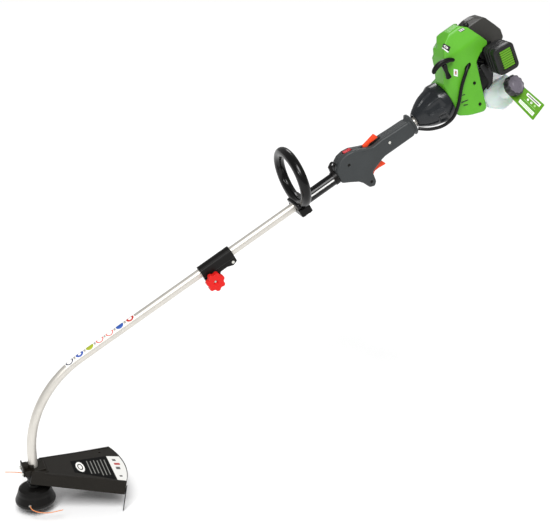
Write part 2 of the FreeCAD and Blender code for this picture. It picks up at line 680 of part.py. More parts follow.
def engine_shroud():
    """Fan housing: a rounded shell open at its back."""
    outer = side_prism(SHROUD_SIDE, 10, -SHROUD_HALF, SHROUD_HALF)
    outer = outer.common(end_prism(SHROUD_END, 26, 1150, 1340)).common(plan_prism(SHROUD_PLAN, 18, -90, 190))
    inner = side_prism(SHROUD_SIDE, 10, -SHROUD_HALF + WALL, SHROUD_HALF - WALL, WALL)
    inner = inner.common(end_prism(SHROUD_END, 26, 1150, 1340, WALL))
    inner = inner.common(plan_prism(SHROUD_PLAN, 18, -90, 190, WALL))
    for outline, low in FRONT_CUTS:
        wedge = plan_prism(outline, 3, low, 200)
        outer = outer.cut(wedge)
        wedge.translate(Vector(3.5, 0, -WALL))
        inner = inner.cut(wedge)
    back = inner.copy()
    back.translate(Vector(12, 0, -3))
    shape = outer.cut(inner).cut(back.common(block((1215, -54, -80), (1400, 54, 200))))
    shape = shape.cut(rod(CRANK_R + 1, Vector(1160, 0, 0), Vector(1175, 0, 0)))
    boss = pipe(9.95, CRANK_R + 1, Vector(1166, 0, 0), Vector(1182, 0, 0))
    shape = shape.fuse(boss)
    shape = shape.cut(rod(6.2, Vector(1227, -66, 60), Vector(1259, -47, 77)))
    shape = shape.cut(filter_block(CASE_HALF_S + 1, CASE_HALF_U + 1, -62, -48, 6))
    recess = side_prism([(1172, 62), (1196, 62), (1200, 100), (1216, 110), (1216, 128), (1168, 128),
        (1168, 100)], 4, -60, -55)
    shape = shape.cut(recess.common(block((1160, -60, 0), (1230, -57, 200))))
    for s, u in SHROUD_SCREWS:
        shape = shape.cut(rod(2.2, Vector(s, -60, u), Vector(s, -50, u)))
        shape = shape.cut(block((s - 4, -60, u - 4), (s + 4, -SHROUD_HALF + 1.1, u + 4)))
    return shape


def starter_pulley():
    disc = turned_boom([(1169.5, 10), (1169.5, 30), (1171.5, 30), (1173.5, 27), (1176.5, 27),
        (1178.5, 30), (1180.5, 30), (1180.5, 10)])
    return disc


def starter_handle():
    """T handle parked over its rope guide on the near side."""
    stem = rod(6.5, Vector(1181, -64.5, 78), Vector(1184, -66, 116))
    stem = stem.fuse(Part.makeSphere(6.5, Vector(1181, -64.5, 78)))
    bar_start = Vector(1149, -67, 122)
    bar_end = Vector(1214, -67, 113)
    middle = Vector(1184, -67, 124)
    bar = rod(6.0, bar_start, middle).fuse(rod(6.0, middle, bar_end))
    for spot in (bar_start, bar_end, middle):
        bar = bar.fuse(Part.makeSphere(6.0, spot))
    return stem.fuse(bar).removeSplitter()


def flywheel():
    disc = turned_boom([(1190, CRANK_R), (1190, FLYWHEEL_R - 6), (1204, FLYWHEEL_R - 6), (1204, CRANK_R)])
    for i in range(12):
        fin = block((1189, -1.2, 20), (1204, 1.2, FLYWHEEL_R))
        fin.rotate(ZERO, X, 30 * i)
        disc = disc.fuse(fin)
    return disc.cut(rod(CRANK_R, Vector(1180, 0, 0), Vector(1210, 0, 0)))


def crankshaft():
    front = rod(CRANK_R, Vector(1126, 0, 0), Vector(1240, 0, 0))
    front_web = rod(22, Vector(1238, 0, 0), Vector(1248, 0, 0))
    rear_web = rod(22, Vector(1264, 0, 0), Vector(1274, 0, 0))
    rear = rod(CRANK_R, Vector(1274, 0, 0), Vector(1289, 0, 0))
    centre = rod(4, Vector(1248, 0, 0), Vector(1264, 0, 0))
    return front.fuse(front_web).fuse(centre).fuse(rear_web).fuse(rear)


def crankcase():
    shape = soft_block((CRANKCASE_LOW, -36, -38), (CRANKCASE_HIGH + 4, 36, 34), 6)
    shape = shape.cut(rod(25, Vector(1232, 0, 0), Vector(1282, 0, 0)))
    shape = shape.cut(rod(CRANK_R + RUN_GAP, Vector(1200, 0, 0), Vector(1290, 0, 0)))
    return shape.cut(rod(BORE_R + 2, Vector(CYL_S, 0, 0), Vector(CYL_S, 0, 60)))


def cylinder():
    barrel = rod(22, Vector(CYL_S, 0, 34.1), Vector(CYL_S, 0, 122))
    for i in range(8):
        u = 44 + 9.5 * i
        barrel = barrel.fuse(block((CYL_S - 30, -28, u), (CYL_S + 30, 28, u + 2.5)))
    barrel = barrel.cut(rod(BORE_R, Vector(CYL_S, 0, 30), Vector(CYL_S, 0, 112)))
    plug_hole = rod(5.05, PLUG_FOOT - PLUG_WAY * 12, PLUG_FOOT + PLUG_WAY * 12)
    return barrel.cut(plug_hole)


PLUG_FOOT = Vector(1264, -5, 121)
PLUG_WAY = Vector(36, -26, 38).normalize()


def piston():
    crown = rod(BORE_R - RUN_GAP, Vector(CYL_S, 0, 70), Vector(CYL_S, 0, 98))
    crown = crown.cut(rod(14, Vector(CYL_S, 0, 69), Vector(CYL_S, 0, 93)))
    bosses = rod(5.5, Vector(CYL_S, -15, 80), Vector(CYL_S, -6, 80)).fuse(
        rod(5.5, Vector(CYL_S, 6, 80), Vector(CYL_S, 15, 80)))
    return crown.fuse(bosses)


def connecting_rod():
    """Rod, with its wrist pin, drawn at top dead centre beside the crank's centre bar."""
    shape = pipe(8, 4.2, Vector(CYL_S - 4, 0, 18), Vector(CYL_S + 4, 0, 18))
    shape = shape.fuse(block((CYL_S - 2, -3.5, 24), (CYL_S + 2, 3.5, 75)))
    shape = shape.fuse(rod(4.5, Vector(CYL_S - 3, 0, 80), Vector(CYL_S + 3, 0, 80)))
    return shape.fuse(block((CYL_S - 3, -5.5, 72), (CYL_S + 3, 5.5, 84)))


def spark_plug():
    thread = rod(5.0, PLUG_FOOT - PLUG_WAY * 8, PLUG_FOOT + PLUG_WAY * 11)
    hexagon = rod(8.0, PLUG_FOOT + PLUG_WAY * 11, PLUG_FOOT + PLUG_WAY * 19)
    porcelain = rod(4.0, PLUG_FOOT + PLUG_WAY * 19, PLUG_FOOT + PLUG_WAY * 42)
    return thread.fuse(hexagon).fuse(porcelain)


def plug_boot():
    foot = PLUG_FOOT + PLUG_WAY * 24
    tip = PLUG_FOOT + PLUG_WAY * 52
    boot = rod(8.0, foot, tip).fuse(Part.makeSphere(8.0, tip))
    lead = rod(3.5, tip, tip + Vector(-22, -6, -12))
    boot = boot.fuse(lead)
    return boot.cut(rod(4.05, foot - PLUG_WAY, PLUG_FOOT + PLUG_WAY * 42.1))


COVER_SIDE = [(1299, 118), (1293, 147), (1308, 157), (1332, 154), (1355, 141), (1372, 108), (1381, 88),
    (1379, 62)]
COVER_SIDE += [(1336, 57), (1330, 92)]
COVER_END = [(-26, 50), (-26, 144), (-12, 157), (8, 156), (38, 132), (38, 50)]


def cylinder_cover():
    """Cowl over the hot side, open below and towards the cylinder."""
    outer = side_prism(COVER_SIDE, 9, -26, 38).common(end_prism(COVER_END, 8, 1280, 1400))
    inner = side_prism(COVER_SIDE, 9, -26 + WALL, 38 - WALL, WALL)
    inner = inner.common(end_prism(COVER_END, 8, 1280, 1400, WALL))
    lower = inner.copy()
    lower.translate(Vector(-8, 0, -6))
    shape = outer.cut(inner).cut(lower.common(block((1280, -23, 50), (1384, 35, 150))))
    shape = shape.cut(rod(9.8, Vector(1270, 12, 100), Vector(1312, 12, 100)))
    return shape.cut(rod(10, PLUG_FOOT, PLUG_FOOT + PLUG_WAY * 66))


def muffler():
    body = soft_block((1306, -14, 74), (1359, 30, 120), 6)
    outlet = pipe(6, 4.5, Vector(1350, 25, 84), Vector(1350, 34, 84))
    port = rod(9, Vector(1286.5, 12, 100), Vector(1306, 12, 100))
    return body.fuse(port).fuse(outlet)


FILTER_LEAN = 6.0
CASE_HALF_S = 29.0
CASE_HALF_U = 35.0
FILTER_CENTRE = Vector(1325, 0, 50)


def filter_block(half_s, half_u, y_low, y_high, radius):
    """Rounded block of the air filter, leaning back."""
    c = FILTER_CENTRE
    outline = [(c.x - half_s, c.z - half_u), (c.x - half_s, c.z + half_u), (c.x + half_s, c.z + half_u),
        (c.x + half_s, c.z - half_u)]
    shape = side_prism(outline, radius, y_low, y_high)
    shape.rotate(c, Y, FILTER_LEAN)
    return shape


def carburettor():
    body = soft_block((1300, -48, 20), (1342, -22, 54), 2)
    intake = rod(6, Vector(1287.5, -24, 44), Vector(1304, -30, 44))
    dam = side_prism([(1290, 60), (1290, 88), (1334, 88), (1334, 50), (1302, 50)], 2, -46, -41)
    return body.fuse(intake).fuse(dam).cut(rod(6, Vector(1321, -60, 38), Vector(1321, -40, 38)))


def choke_lever():
    pivot = rod(2.5, Vector(1346.6, -40, 30), Vector(1342.3, -40, 30))
    arm = side_prism([(1344, 28), (1344, 34), (1372, 24), (1372, 18)], 2, -42, -38)
    return pivot.fuse(arm)


def air_filter_case():
    """Black ribbed case, open towards the cover, with the plate below it."""
    shape = filter_block(CASE_HALF_S, CASE_HALF_U, -94, -52, 10)
    for i in range(3):
        y = -90 + 13 * i
        shape = shape.fuse(filter_block(CASE_HALF_S + 2, CASE_HALF_U + 2, y, y + 4, 12))
    shape = shape.cut(filter_block(24, 30, -95, -56, 8))
    shape = shape.cut(rod(7, Vector(1321, -60, 38), Vector(1321, -50, 38)))
    plate = side_prism([(1272, 52), (1284, 52), (1298, 14), (1284, -10), (1263, -18), (1263, -12),
        (1276, 0)], 2, -62, -58.6)
    neck = block((1296, -56, 24), (1346, -48.2, 52))
    neck = neck.cut(rod(7, Vector(1321, -60, 38), Vector(1321, -46, 38)))
    return shape.fuse(plate).fuse(neck)


def air_filter_cover():
    shape = filter_block(31, 37, -112, -94.4, 13)
    shape = shape.makeFillet(4, [e for e in shape.Edges if abs(e.CenterOfMass.y + 112) < 0.1])
    shape = shape.cut(filter_block(26, 32, -109, -93, 8))
    return shape.cut(filter_block(21, 26, -114, -104, 4))


def air_filter_insert():
    shape = filter_block(20.8, 25.8, -111, -107.5, 4)
    for i in range(7):
        shape = shape.cut(filter_block_slot(-18 + 6 * i))
    return shape.fuse(filter_block(25.2, 31.2, -108.6, -107.0, 8))


def filter_block_slot(offset):
    c = FILTER_CENTRE
    slot = block((c.x - 17, -112, c.z + offset - 1), (c.x + 17, -109.5, c.z + offset + 1))
    slot.rotate(c, Y, FILTER_LEAN)
    return slot


TANK_SIDE = [(1246, -42), (1262, -24), (1292, -16), (1336, -20), (1346, -44), (1340, -84), (1318, -102),
    (1288, -104), (1252, -74)]
CAP_WAY = Vector(0.393, -0.845, 0.371).normalize()
CAP_FACE = Vector(1330, -90, -38)
CAP_R = 28.5


def fuel_tank():
    outer = side_prism(TANK_SIDE, 10, -48, 44)
    outer = outer.makeFillet(8, [e for e in outer.Edges if abs(e.CenterOfMass.y + 48) < 0.1])
    foot = CAP_FACE - CAP_WAY * 44
    neck_top = CAP_FACE - CAP_WAY * 3
    shape = outer.fuse(rod(20, foot - CAP_WAY * 12, neck_top))
    inner = side_prism(TANK_SIDE, 8, -45.5, 41.5, 2.5)
    shape = shape.cut(inner)
    shape = shape.cut(rod(17.5, foot - CAP_WAY * 8, neck_top + CAP_WAY))
    return shape.cut(soft_block((1200, -37.5, -60), (1295.5, 37.5, 40), 4))


def fuel_cap():
    back = CAP_FACE - CAP_WAY * 19
    shape = rod(CAP_R, back, CAP_FACE)
    shape = shape.makeFillet(3, [e for e in shape.Edges if (e.CenterOfMass - CAP_FACE).Length < 0.5])
    across = CAP_WAY.cross(X).normalize()
    for i in range(18):
        turn = FreeCAD.Rotation(CAP_WAY, 20 * i)
        side = turn.multVec(across) * (CAP_R + 1.2)
        shape = shape.cut(rod(2.6, back + side - CAP_WAY, CAP_FACE + side + CAP_WAY))
    return shape.cut(rod(20.1, back - CAP_WAY, CAP_FACE - CAP_WAY * 2.5))


def hang_tag():
    """Card threaded on the filler neck, under the cap."""
    centre = CAP_FACE - CAP_WAY * 20.5
    down = Vector(0.10, 0, -1)
    down = (down - CAP_WAY * down.dot(CAP_WAY)).normalize()
    side = CAP_WAY.cross(down).normalize()
    if side.x < 0:
        side = side * -1
    corners = [(-12, -25), (12, -25), (27, -8), (36, 105), (-30, 100), (-26, -8)]
    points = [centre + side * a + down * b for a, b in corners]
    card = Part.Face(rounded_wire(points, 3)).extrude(CAP_WAY * 0.8)
    return card.cut(rod(20.6, centre - CAP_WAY * 3, centre + CAP_WAY * 3))


# ---- writing the sub-parts ----
def write_head():
    save("lower_tube", head_to_row(lower_tube()))
    save("flexible_drive_cable", head_to_row(flexible_drive_cable()))
    for piece in (head_bearing_housing, head_bearings, output_arbor, guard_shield, guard_clamp, guard_bolts,
                  line_cutter_blade, head_upper_housing, head_lower_cover, spool, bump_knob, bump_spring):
        save(piece.__name__, head_to_row(piece()))
    save("line_tail_near", head_to_row(cord_tube(TAIL_NEAR, LINE_R)))
    save("line_tail_far", head_to_row(cord_tube(TAIL_FAR, LINE_R)))


def write_boom():
    near, far = coupler_shells()
    save("coupler_shell_near", to_row(near))
    save("coupler_shell_far", to_row(far))
    for piece in (coupler_knob, knob_bolt, locating_button, case_screws, upper_tube, upper_drive_shaft,
                  loop_handle, loop_clamp, loop_bolts, grip_sleeve, hanger_clamp, throttle_trigger,
                  throttle_lockout, stop_switch, handle_pins):
        save(piece.__name__, to_row(piece()))
    save("rear_handle_near", to_row(rear_handle(-1)))
    save("rear_handle_far", to_row(rear_handle(1)))
    save("cable_conduit", to_row(cord_tube(CONDUIT, CABLE_R)))


def write_engine():
    for piece in (clutch_housing, clutch_drum, clutch_shoes, engine_shroud, starter_pulley, starter_handle,
                  flywheel, crankshaft, crankcase, cylinder, piston, connecting_rod, spark_plug, plug_boot,
                  cylinder_cover, muffler, carburettor, choke_lever, air_filter_case, air_filter_cover,
                  air_filter_insert, fuel_tank, fuel_cap, hang_tag):
        save(piece.__name__, to_row(piece()))


os.makedirs("parts", exist_ok=True)
write_head()
write_boom()
write_engine()
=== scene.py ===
import json
import math

import bmesh
import bpy
import numpy as np
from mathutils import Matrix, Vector


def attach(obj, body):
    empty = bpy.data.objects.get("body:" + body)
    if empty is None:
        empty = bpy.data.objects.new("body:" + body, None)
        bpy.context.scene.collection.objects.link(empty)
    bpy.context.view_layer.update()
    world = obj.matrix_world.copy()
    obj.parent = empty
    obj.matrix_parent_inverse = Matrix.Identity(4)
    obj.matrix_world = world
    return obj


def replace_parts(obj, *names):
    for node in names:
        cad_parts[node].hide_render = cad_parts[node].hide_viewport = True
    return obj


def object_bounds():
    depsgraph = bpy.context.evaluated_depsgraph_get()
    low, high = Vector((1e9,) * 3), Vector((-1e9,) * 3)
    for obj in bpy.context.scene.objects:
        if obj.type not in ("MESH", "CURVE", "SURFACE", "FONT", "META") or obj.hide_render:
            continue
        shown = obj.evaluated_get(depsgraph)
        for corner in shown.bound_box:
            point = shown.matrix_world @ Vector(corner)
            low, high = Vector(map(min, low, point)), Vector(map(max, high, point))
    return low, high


bl_info = {
    "name": "Split-shaft line trimmer",
    "version": (1, 0, 0),
    "blender": (4, 5, 0),
    "location": "3D View > Sidebar > Trimmer",
    "description": "Finishes and fine pieces of a petrol line trimmer with a curved split shaft",
    "category": "Object",
}

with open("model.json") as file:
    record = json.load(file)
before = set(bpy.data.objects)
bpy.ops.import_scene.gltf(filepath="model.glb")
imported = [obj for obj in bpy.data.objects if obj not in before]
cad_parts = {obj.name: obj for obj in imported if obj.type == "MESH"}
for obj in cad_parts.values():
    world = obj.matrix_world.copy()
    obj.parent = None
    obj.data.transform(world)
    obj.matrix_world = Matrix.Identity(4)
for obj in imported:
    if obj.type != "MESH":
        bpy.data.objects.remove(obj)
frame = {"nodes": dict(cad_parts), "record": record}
CAD_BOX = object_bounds()
BODY_OF = {node: body for body, nodes in frame["record"]["behaviour"]["bodies"].items() for node in nodes}

# Where the boom and the head stand in the row frame, in millimetres.
BOOM_TILT = math.radians(30)
EYE_S, EYE_U = 817.0, 36.0
HEAD_AT = (-829.54, 0.0, -724.16)
MM = 0.001


# ---- places ----
def stacked(x, y, z):
    """Three arrays or numbers made one array of points."""
    return np.stack(np.broadcast_arrays(np.asarray(x, float), y, z), -1)


def boom(s, y, u):
    """Boom millimetres to row metres: the boom's own axes turned up by its tilt about the harness eye."""
    a, b = np.asarray(s, float) - EYE_S, np.asarray(u, float) - EYE_U
    along, up = math.cos(BOOM_TILT), math.sin(BOOM_TILT)
    return stacked(a * along - b * up, y, a * up + b * along) * MM


def head(x, y, z):
    """Head millimetres, z up the head's axis, to row metres."""
    return (stacked(x, y, z) + HEAD_AT) * MM


def unit(v):
    v = np.asarray(v, float)
    return v / np.maximum(np.linalg.norm(v, axis=-1, keepdims=True), 1e-12)


# ---- objects ----
def linked(name, data):
    """A new object for some data, put in the scene."""
    obj = bpy.data.objects.new(name, data)
    bpy.context.scene.collection.objects.link(obj)
    return obj


def merged(mesh, reach):
    """A mesh with the points that lie within reach metres of each other made one."""
    work = bmesh.new()
    work.from_mesh(mesh)
    bmesh.ops.remove_doubles(work, verts=work.verts, dist=reach)
    work.to_mesh(mesh)
    work.free()


def applied(obj):
    """The shape that the object's modifiers give, made its own mesh."""
    bpy.context.view_layer.update()
    made = bpy.data.meshes.new_from_object(obj.evaluated_get(bpy.context.evaluated_depsgraph_get()))
    obj.modifiers.clear()
    obj.data = made
    return made


# ---- surfaces ----
def shares(rows, cols):
    """Two grids of numbers from 0 to 1, one down the rows and one across the columns."""
    return np.meshgrid(np.linspace(0, 1, rows), np.linspace(0, 1, cols), indexing="ij")


def grid_faces(rows, cols, wrap_rows, wrap_cols):
    """Each quad joins a grid point to the next in both directions; a wrapped direction closes on itself."""
    i, j = np.meshgrid(np.arange(rows - (not wrap_rows)), np.arange(cols - (not wrap_cols)), indexing="ij")
    a, b = (i + 1) % rows, (j + 1) % cols
    return np.stack([i * cols + j, a * cols + j, a * cols + b, i * cols + b], -1).reshape(-1, 4)


def grid(points, wrap_rows=False, wrap_cols=True):
    """A grid of points as (points, faces, uv); a wrapped grid's open ends close on a ring of one point each."""
    points = np.asarray(points, float)
    if wrap_cols and not wrap_rows:
        ends = [np.repeat(points[k].mean(axis=0)[None], points.shape[1], 0)[None] for k in (0, -1)]
        points = np.concatenate([ends[0], points, ends[1]])
    rows, cols = points.shape[:2]
    v, u = shares(rows, cols)
    return points.reshape(-1, 3), grid_faces(rows, cols, wrap_rows, wrap_cols), np.stack([u, v], -1).reshape(-1, 2)


def normals_of(points):
    """Cross product of the two directions of a grid."""
    return unit(np.cross(np.gradient(points, axis=0), np.gradient(points, axis=1)))


def slab(points, thickness, way=1.0):
    """An open grid given a thickness along its normals, closed by a wall round its rim."""
    points = np.asarray(points, float)
    top = points + normals_of(points) * thickness * way
    rows, cols = points.shape[:2]
    v, u = shares(rows, cols)
    uv = np.stack([u, v], -1).reshape(-1, 2)
    base = grid_faces(rows, cols, False, False)
    rim = np.concatenate([np.arange(cols), np.arange(1, rows) * cols + cols - 1,
                          (rows - 1) * cols + np.arange(cols - 2, -1, -1), np.arange(rows - 2, 0, -1) * cols])
    after, count = np.roll(rim, -1), rows * cols
    wall = np.stack([rim, after, after + count, rim + count], -1)
    faces = np.concatenate([base[:, ::-1], base + count, wall])
    return np.concatenate([points.reshape(-1, 3), top.reshape(-1, 3)]), faces, np.concatenate([uv, uv])


UP = np.array((0.0, 0.0, 1.0))


def turned(profile, centre, axis, count, swell=None):
    """Profile of (distance, radius) carried round an axis; swell(distance, angle) scales each radius."""
    axis = unit(axis)
    side = unit(UP - np.dot(UP, axis) * axis)
    other = np.cross(axis, side)
    distance, radius = np.asarray(profile, float).T
    angle = np.linspace(0, 2 * math.pi, count, endpoint=False)
    d, a = np.meshgrid(distance, angle, indexing="ij")
    r = radius[:, None] * (1 if swell is None else swell(d, a))
    return (np.asarray(centre, float) + d[..., None] * axis
            + (r * np.cos(a))[..., None] * side + (r * np.sin(a))[..., None] * other)


def smooth_path(points, count):
    """A chain of points made a smooth line: each span is a cubic whose ends follow the chord past them."""
    p = np.asarray(points, float)
    p = np.concatenate([[2 * p[0] - p[1]], p, [2 * p[-1] - p[-2]]])
    t = np.linspace(0, len(points) - 1, count)
    k = np.minimum(t.astype(int), len(points) - 2)
    t = (t - k)[:, None]
    a, b, c, d = p[k], p[k + 1], p[k + 2], p[k + 3]
    return 0.5 * (2 * b + (c - a) * t + (2 * a - 5 * b + 4 * c - d) * t ** 2 + (3 * b - a - 3 * c + d) * t ** 3)


def swept(path, wide, high, up, count=24, power=2.0):
    """A rounded section, |x/wide|^power + |z/high|^power = 1, carried square to a path and held by up."""
    path = np.asarray(path, float)
    along = unit(np.gradient(path, axis=0))
    side = unit(np.cross(along, np.asarray(up, float)))
    top = np.cross(side, along)
    angle = np.linspace(0, 2 * math.pi, count, endpoint=False)
    c, s = np.cos(angle), np.sin(angle)
    x = np.sign(c) * np.abs(c) ** (2 / power)
    z = np.sign(s) * np.abs(s) ** (2 / power)
    wide, high = np.broadcast_to(wide, len(path)), np.broadcast_to(high, len(path))
    return (path[:, None] + (wide[:, None] * x)[..., None] * side[:, None]
            + (high[:, None] * z)[..., None] * top[:, None])


def domed(count, share=0.12):
    """Scale factors along a path that round both its ends like a dome."""
    t = np.linspace(0, 1, count)
    near = np.clip(np.minimum(t, 1 - t) / share, 0, 1)
    return np.sqrt(np.clip(1 - (1 - near) ** 2, 0.0025, 1))


def moved(shell, to_place):
    """A shell whose points are sent through a place function of three arrays."""
    points, faces, uv = shell
    return to_place(points[:, 0], points[:, 1], points[:, 2]), faces, uv


SHARP = math.radians(40)


def piece(name, shells, material, body):
    """One mesh object from (points, faces, uv) shells in row metres; each shell is turned to face outwards."""
    points, faces, uvs, first = [], [], [], 0
    for p, f, uv in shells:
        tri = np.concatenate([f[:, [0, 1, 2]], f[:, [0, 2, 3]]])
        a, b, c = (p[tri[:, k]] - p.mean(0) for k in range(3))
        volume = np.einsum("ij,ij->i", a, np.cross(b, c)).sum()
        f = f if volume > 0 else f[:, ::-1]
        points.append(p)
        uvs.append(uv)
        faces.append(f + first)
        first += len(p)
    points, faces, uvs = np.concatenate(points), np.concatenate(faces), np.concatenate(uvs)
    mesh = bpy.data.meshes.new(name)
    mesh.from_pydata(points, [], faces)
    layer = mesh.uv_layers.new(name="UVMap")
    layer.data.foreach_set("uv", uvs[faces.ravel()].ravel())
    merged(mesh, 1e-7)
    mesh.validate()
    mesh.polygons.foreach_set("use_smooth", [True] * len(mesh.polygons))
    mesh.set_sharp_from_angle(angle=SHARP)
    obj = linked(name, mesh)
    mesh.materials.append(material)
    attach(obj, body)
    return obj


def softened(node, name, voxel, passes, material):
    """A CAD node's shape with its edges rounded as a mould leaves them: an even net of voxel mm, relaxed."""
    mesh = frame["nodes"][node].data.copy()
    merged(mesh, 2e-6)
    obj = linked(name, mesh)
    net = obj.modifiers.new("net", "REMESH")
    net.mode, net.voxel_size, net.use_smooth_shade = "VOXEL", voxel * MM, True
    relax = obj.modifiers.new("relax", "SMOOTH")
    relax.factor, relax.iterations = 0.5, passes
    made = applied(obj)
    made.name = name
    made.materials.clear()
    made.materials.append(material)
    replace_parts(obj, node)
    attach(obj, BODY_OF[node])
    return obj


# The way the shroud faces; a film starts out along it, clear of the shell, before it is laid on.
OUTWARD = np.array((-0.18, -0.88, 0.44))
LAID_GAP = 0.12


def laid_on(obj, target, film):
    """A sheet brought to the nearest points of a moulding's surface and given its film thickness outwards."""
    wrap = obj.modifiers.new("lay", "SHRINKWRAP")
    wrap.target, wrap.offset = target, (LAID_GAP + film / 2) * MM
    wrap.wrap_method, wrap.wrap_mode = "NEAREST_SURFACEPOINT", "OUTSIDE_SURFACE"
    skin = obj.modifiers.new("film", "SOLIDIFY")
    skin.thickness, skin.offset = film * MM, 0.0
    applied(obj)


def open_sheet(corners, count=17):
    """A flat bilinear facet as one open shell."""
    sheet = facet(corners, count)
    v, u = shares(count, count)
    return sheet.reshape(-1, 3), grid_faces(count, count, False, False), np.stack([u, v], -1).reshape(-1, 2)


# ---- finishes ----
def linear(code):
    """sRGB hex to linear light: c / 12.92 below 0.04045, else ((c + 0.055) / 1.055) to the power 2.4."""
    parts = [int(code[k:k + 2], 16) / 255 for k in (1, 3, 5)]
    return tuple(c / 12.92 if c <= 0.04045 else ((c + 0.055) / 1.055) ** 2.4 for c in parts)


def add(tree, kind, settings=None, **inputs):
    """One shader node: settings are its properties, inputs its sockets, spaces as _, or _0 for the first."""
    node = tree.nodes.new("ShaderNode" + kind)
    for key, value in (settings or {}).items():
        setattr(node, key, value)
    for key, value in inputs.items():
        socket = node.inputs[int(key[1:]) if key[1:].isdigit() else key.replace("_", " ")]
        if isinstance(value, bpy.types.NodeSocket):
            tree.links.new(value, socket)
        else:
            socket.default_value = value
    return node


def started(name):
    """An empty material with its tree and the object's own coordinates."""
    material = bpy.data.materials.new(name)
    material.use_nodes = True
    tree = material.node_tree
    tree.nodes.clear()
    return material, tree, add(tree, "TexCoord").outputs["Object"]


def noise(tree, place, size, detail, rough=0.5):
    """Cloud noise from 0 to 1 whose largest cells are size mm."""
    node = add(tree, "TexNoise", None, Vector=place, Scale=1 / (size * MM), Detail=detail, Roughness=rough)
    return node.outputs["Fac"]


def finished(material, tree, height, depth, strength, turn=None, **sockets):
    """The material's surface: its sockets, over a relief of the height output, depth mm deep."""
    bump = add(tree, "Bump", turn, Height=height, Distance=depth * MM, Strength=strength)
    shader = add(tree, "BsdfPrincipled", None, Normal=bump.outputs[0], **sockets)
    add(tree, "OutputMaterial", Surface=shader.outputs[0])
    return material


def ramp(tree, value, low, high, to_low, to_high):
    """A value between low and high made one between to_low and to_high."""
    node = add(tree, "MapRange", None, Value=value, From_Min=low, From_Max=high, To_Min=to_low, To_Max=to_high)
    return node.outputs[0]


def over(tree, value, below, above):
    """Colour below mixed with colour above by a value from 0 to 1; each is a linear colour or an output."""
    mix = add(tree, "Mix", {"data_type": "RGBA"}, _0=value)
    for socket, colour in ((mix.inputs[6], below), (mix.inputs[7], above)):
        if isinstance(colour, bpy.types.NodeSocket):
            tree.links.new(colour, socket)
        else:
            socket.default_value = (*colour, 1)
    return mix.outputs[2]


def tinted(colour, factor):
    return tuple(min(1.0, c * factor) for c in colour)


def moulded(name, colour, rough, grain, depth, mottle=0.08, **extra):
    """Moulded plastic: fine noise of grain mm raised by depth mm and a slow unevenness of colour and gloss."""
    material, tree, place = started(name)
    slow = noise(tree, place, 60, 3.0, 0.6)
    fine = noise(tree, place, grain, 4.0, 0.7)
    both = add(tree, "Math", {"operation": "MULTIPLY_ADD"}, _0=fine, _1=0.4, _2=slow).outputs[0]
    base = over(tree, ramp(tree, both, 0.4, 1.0, 0, 1), tinted(colour, 1 - mottle), tinted(colour, 1 + mottle))
    gloss = ramp(tree, fine, 0.3, 0.7, rough - 0.06, rough + 0.08)
    return finished(material, tree, fine, depth, 1.0, Base_Color=base, Roughness=gloss, **extra)


def metal(name, colour, rough, grain, depth, stretch=(1, 1, 1), stain=None, share=1.0):
    """Bare or plated metal: noise of grain mm, drawn out for brushing, with a stain in its slow hollows."""
    material, tree, place = started(name)
    drawn = add(tree, "Mapping", None, Vector=place, Scale=stretch).outputs[0]
    fine = noise(tree, drawn, grain, 5.0, 0.65)
    slow = noise(tree, place, 25, 3.0)
    base = over(tree, ramp(tree, slow, 0.35, 0.7, 0, 1), stain or tinted(colour, 0.82), colour)
    gloss = ramp(tree, fine, 0.3, 0.7, rough - 0.07, rough + 0.1)
    return finished(material, tree, fine, depth, 0.8, Base_Color=base, Metallic=share, Roughness=gloss)


FINISH = {}


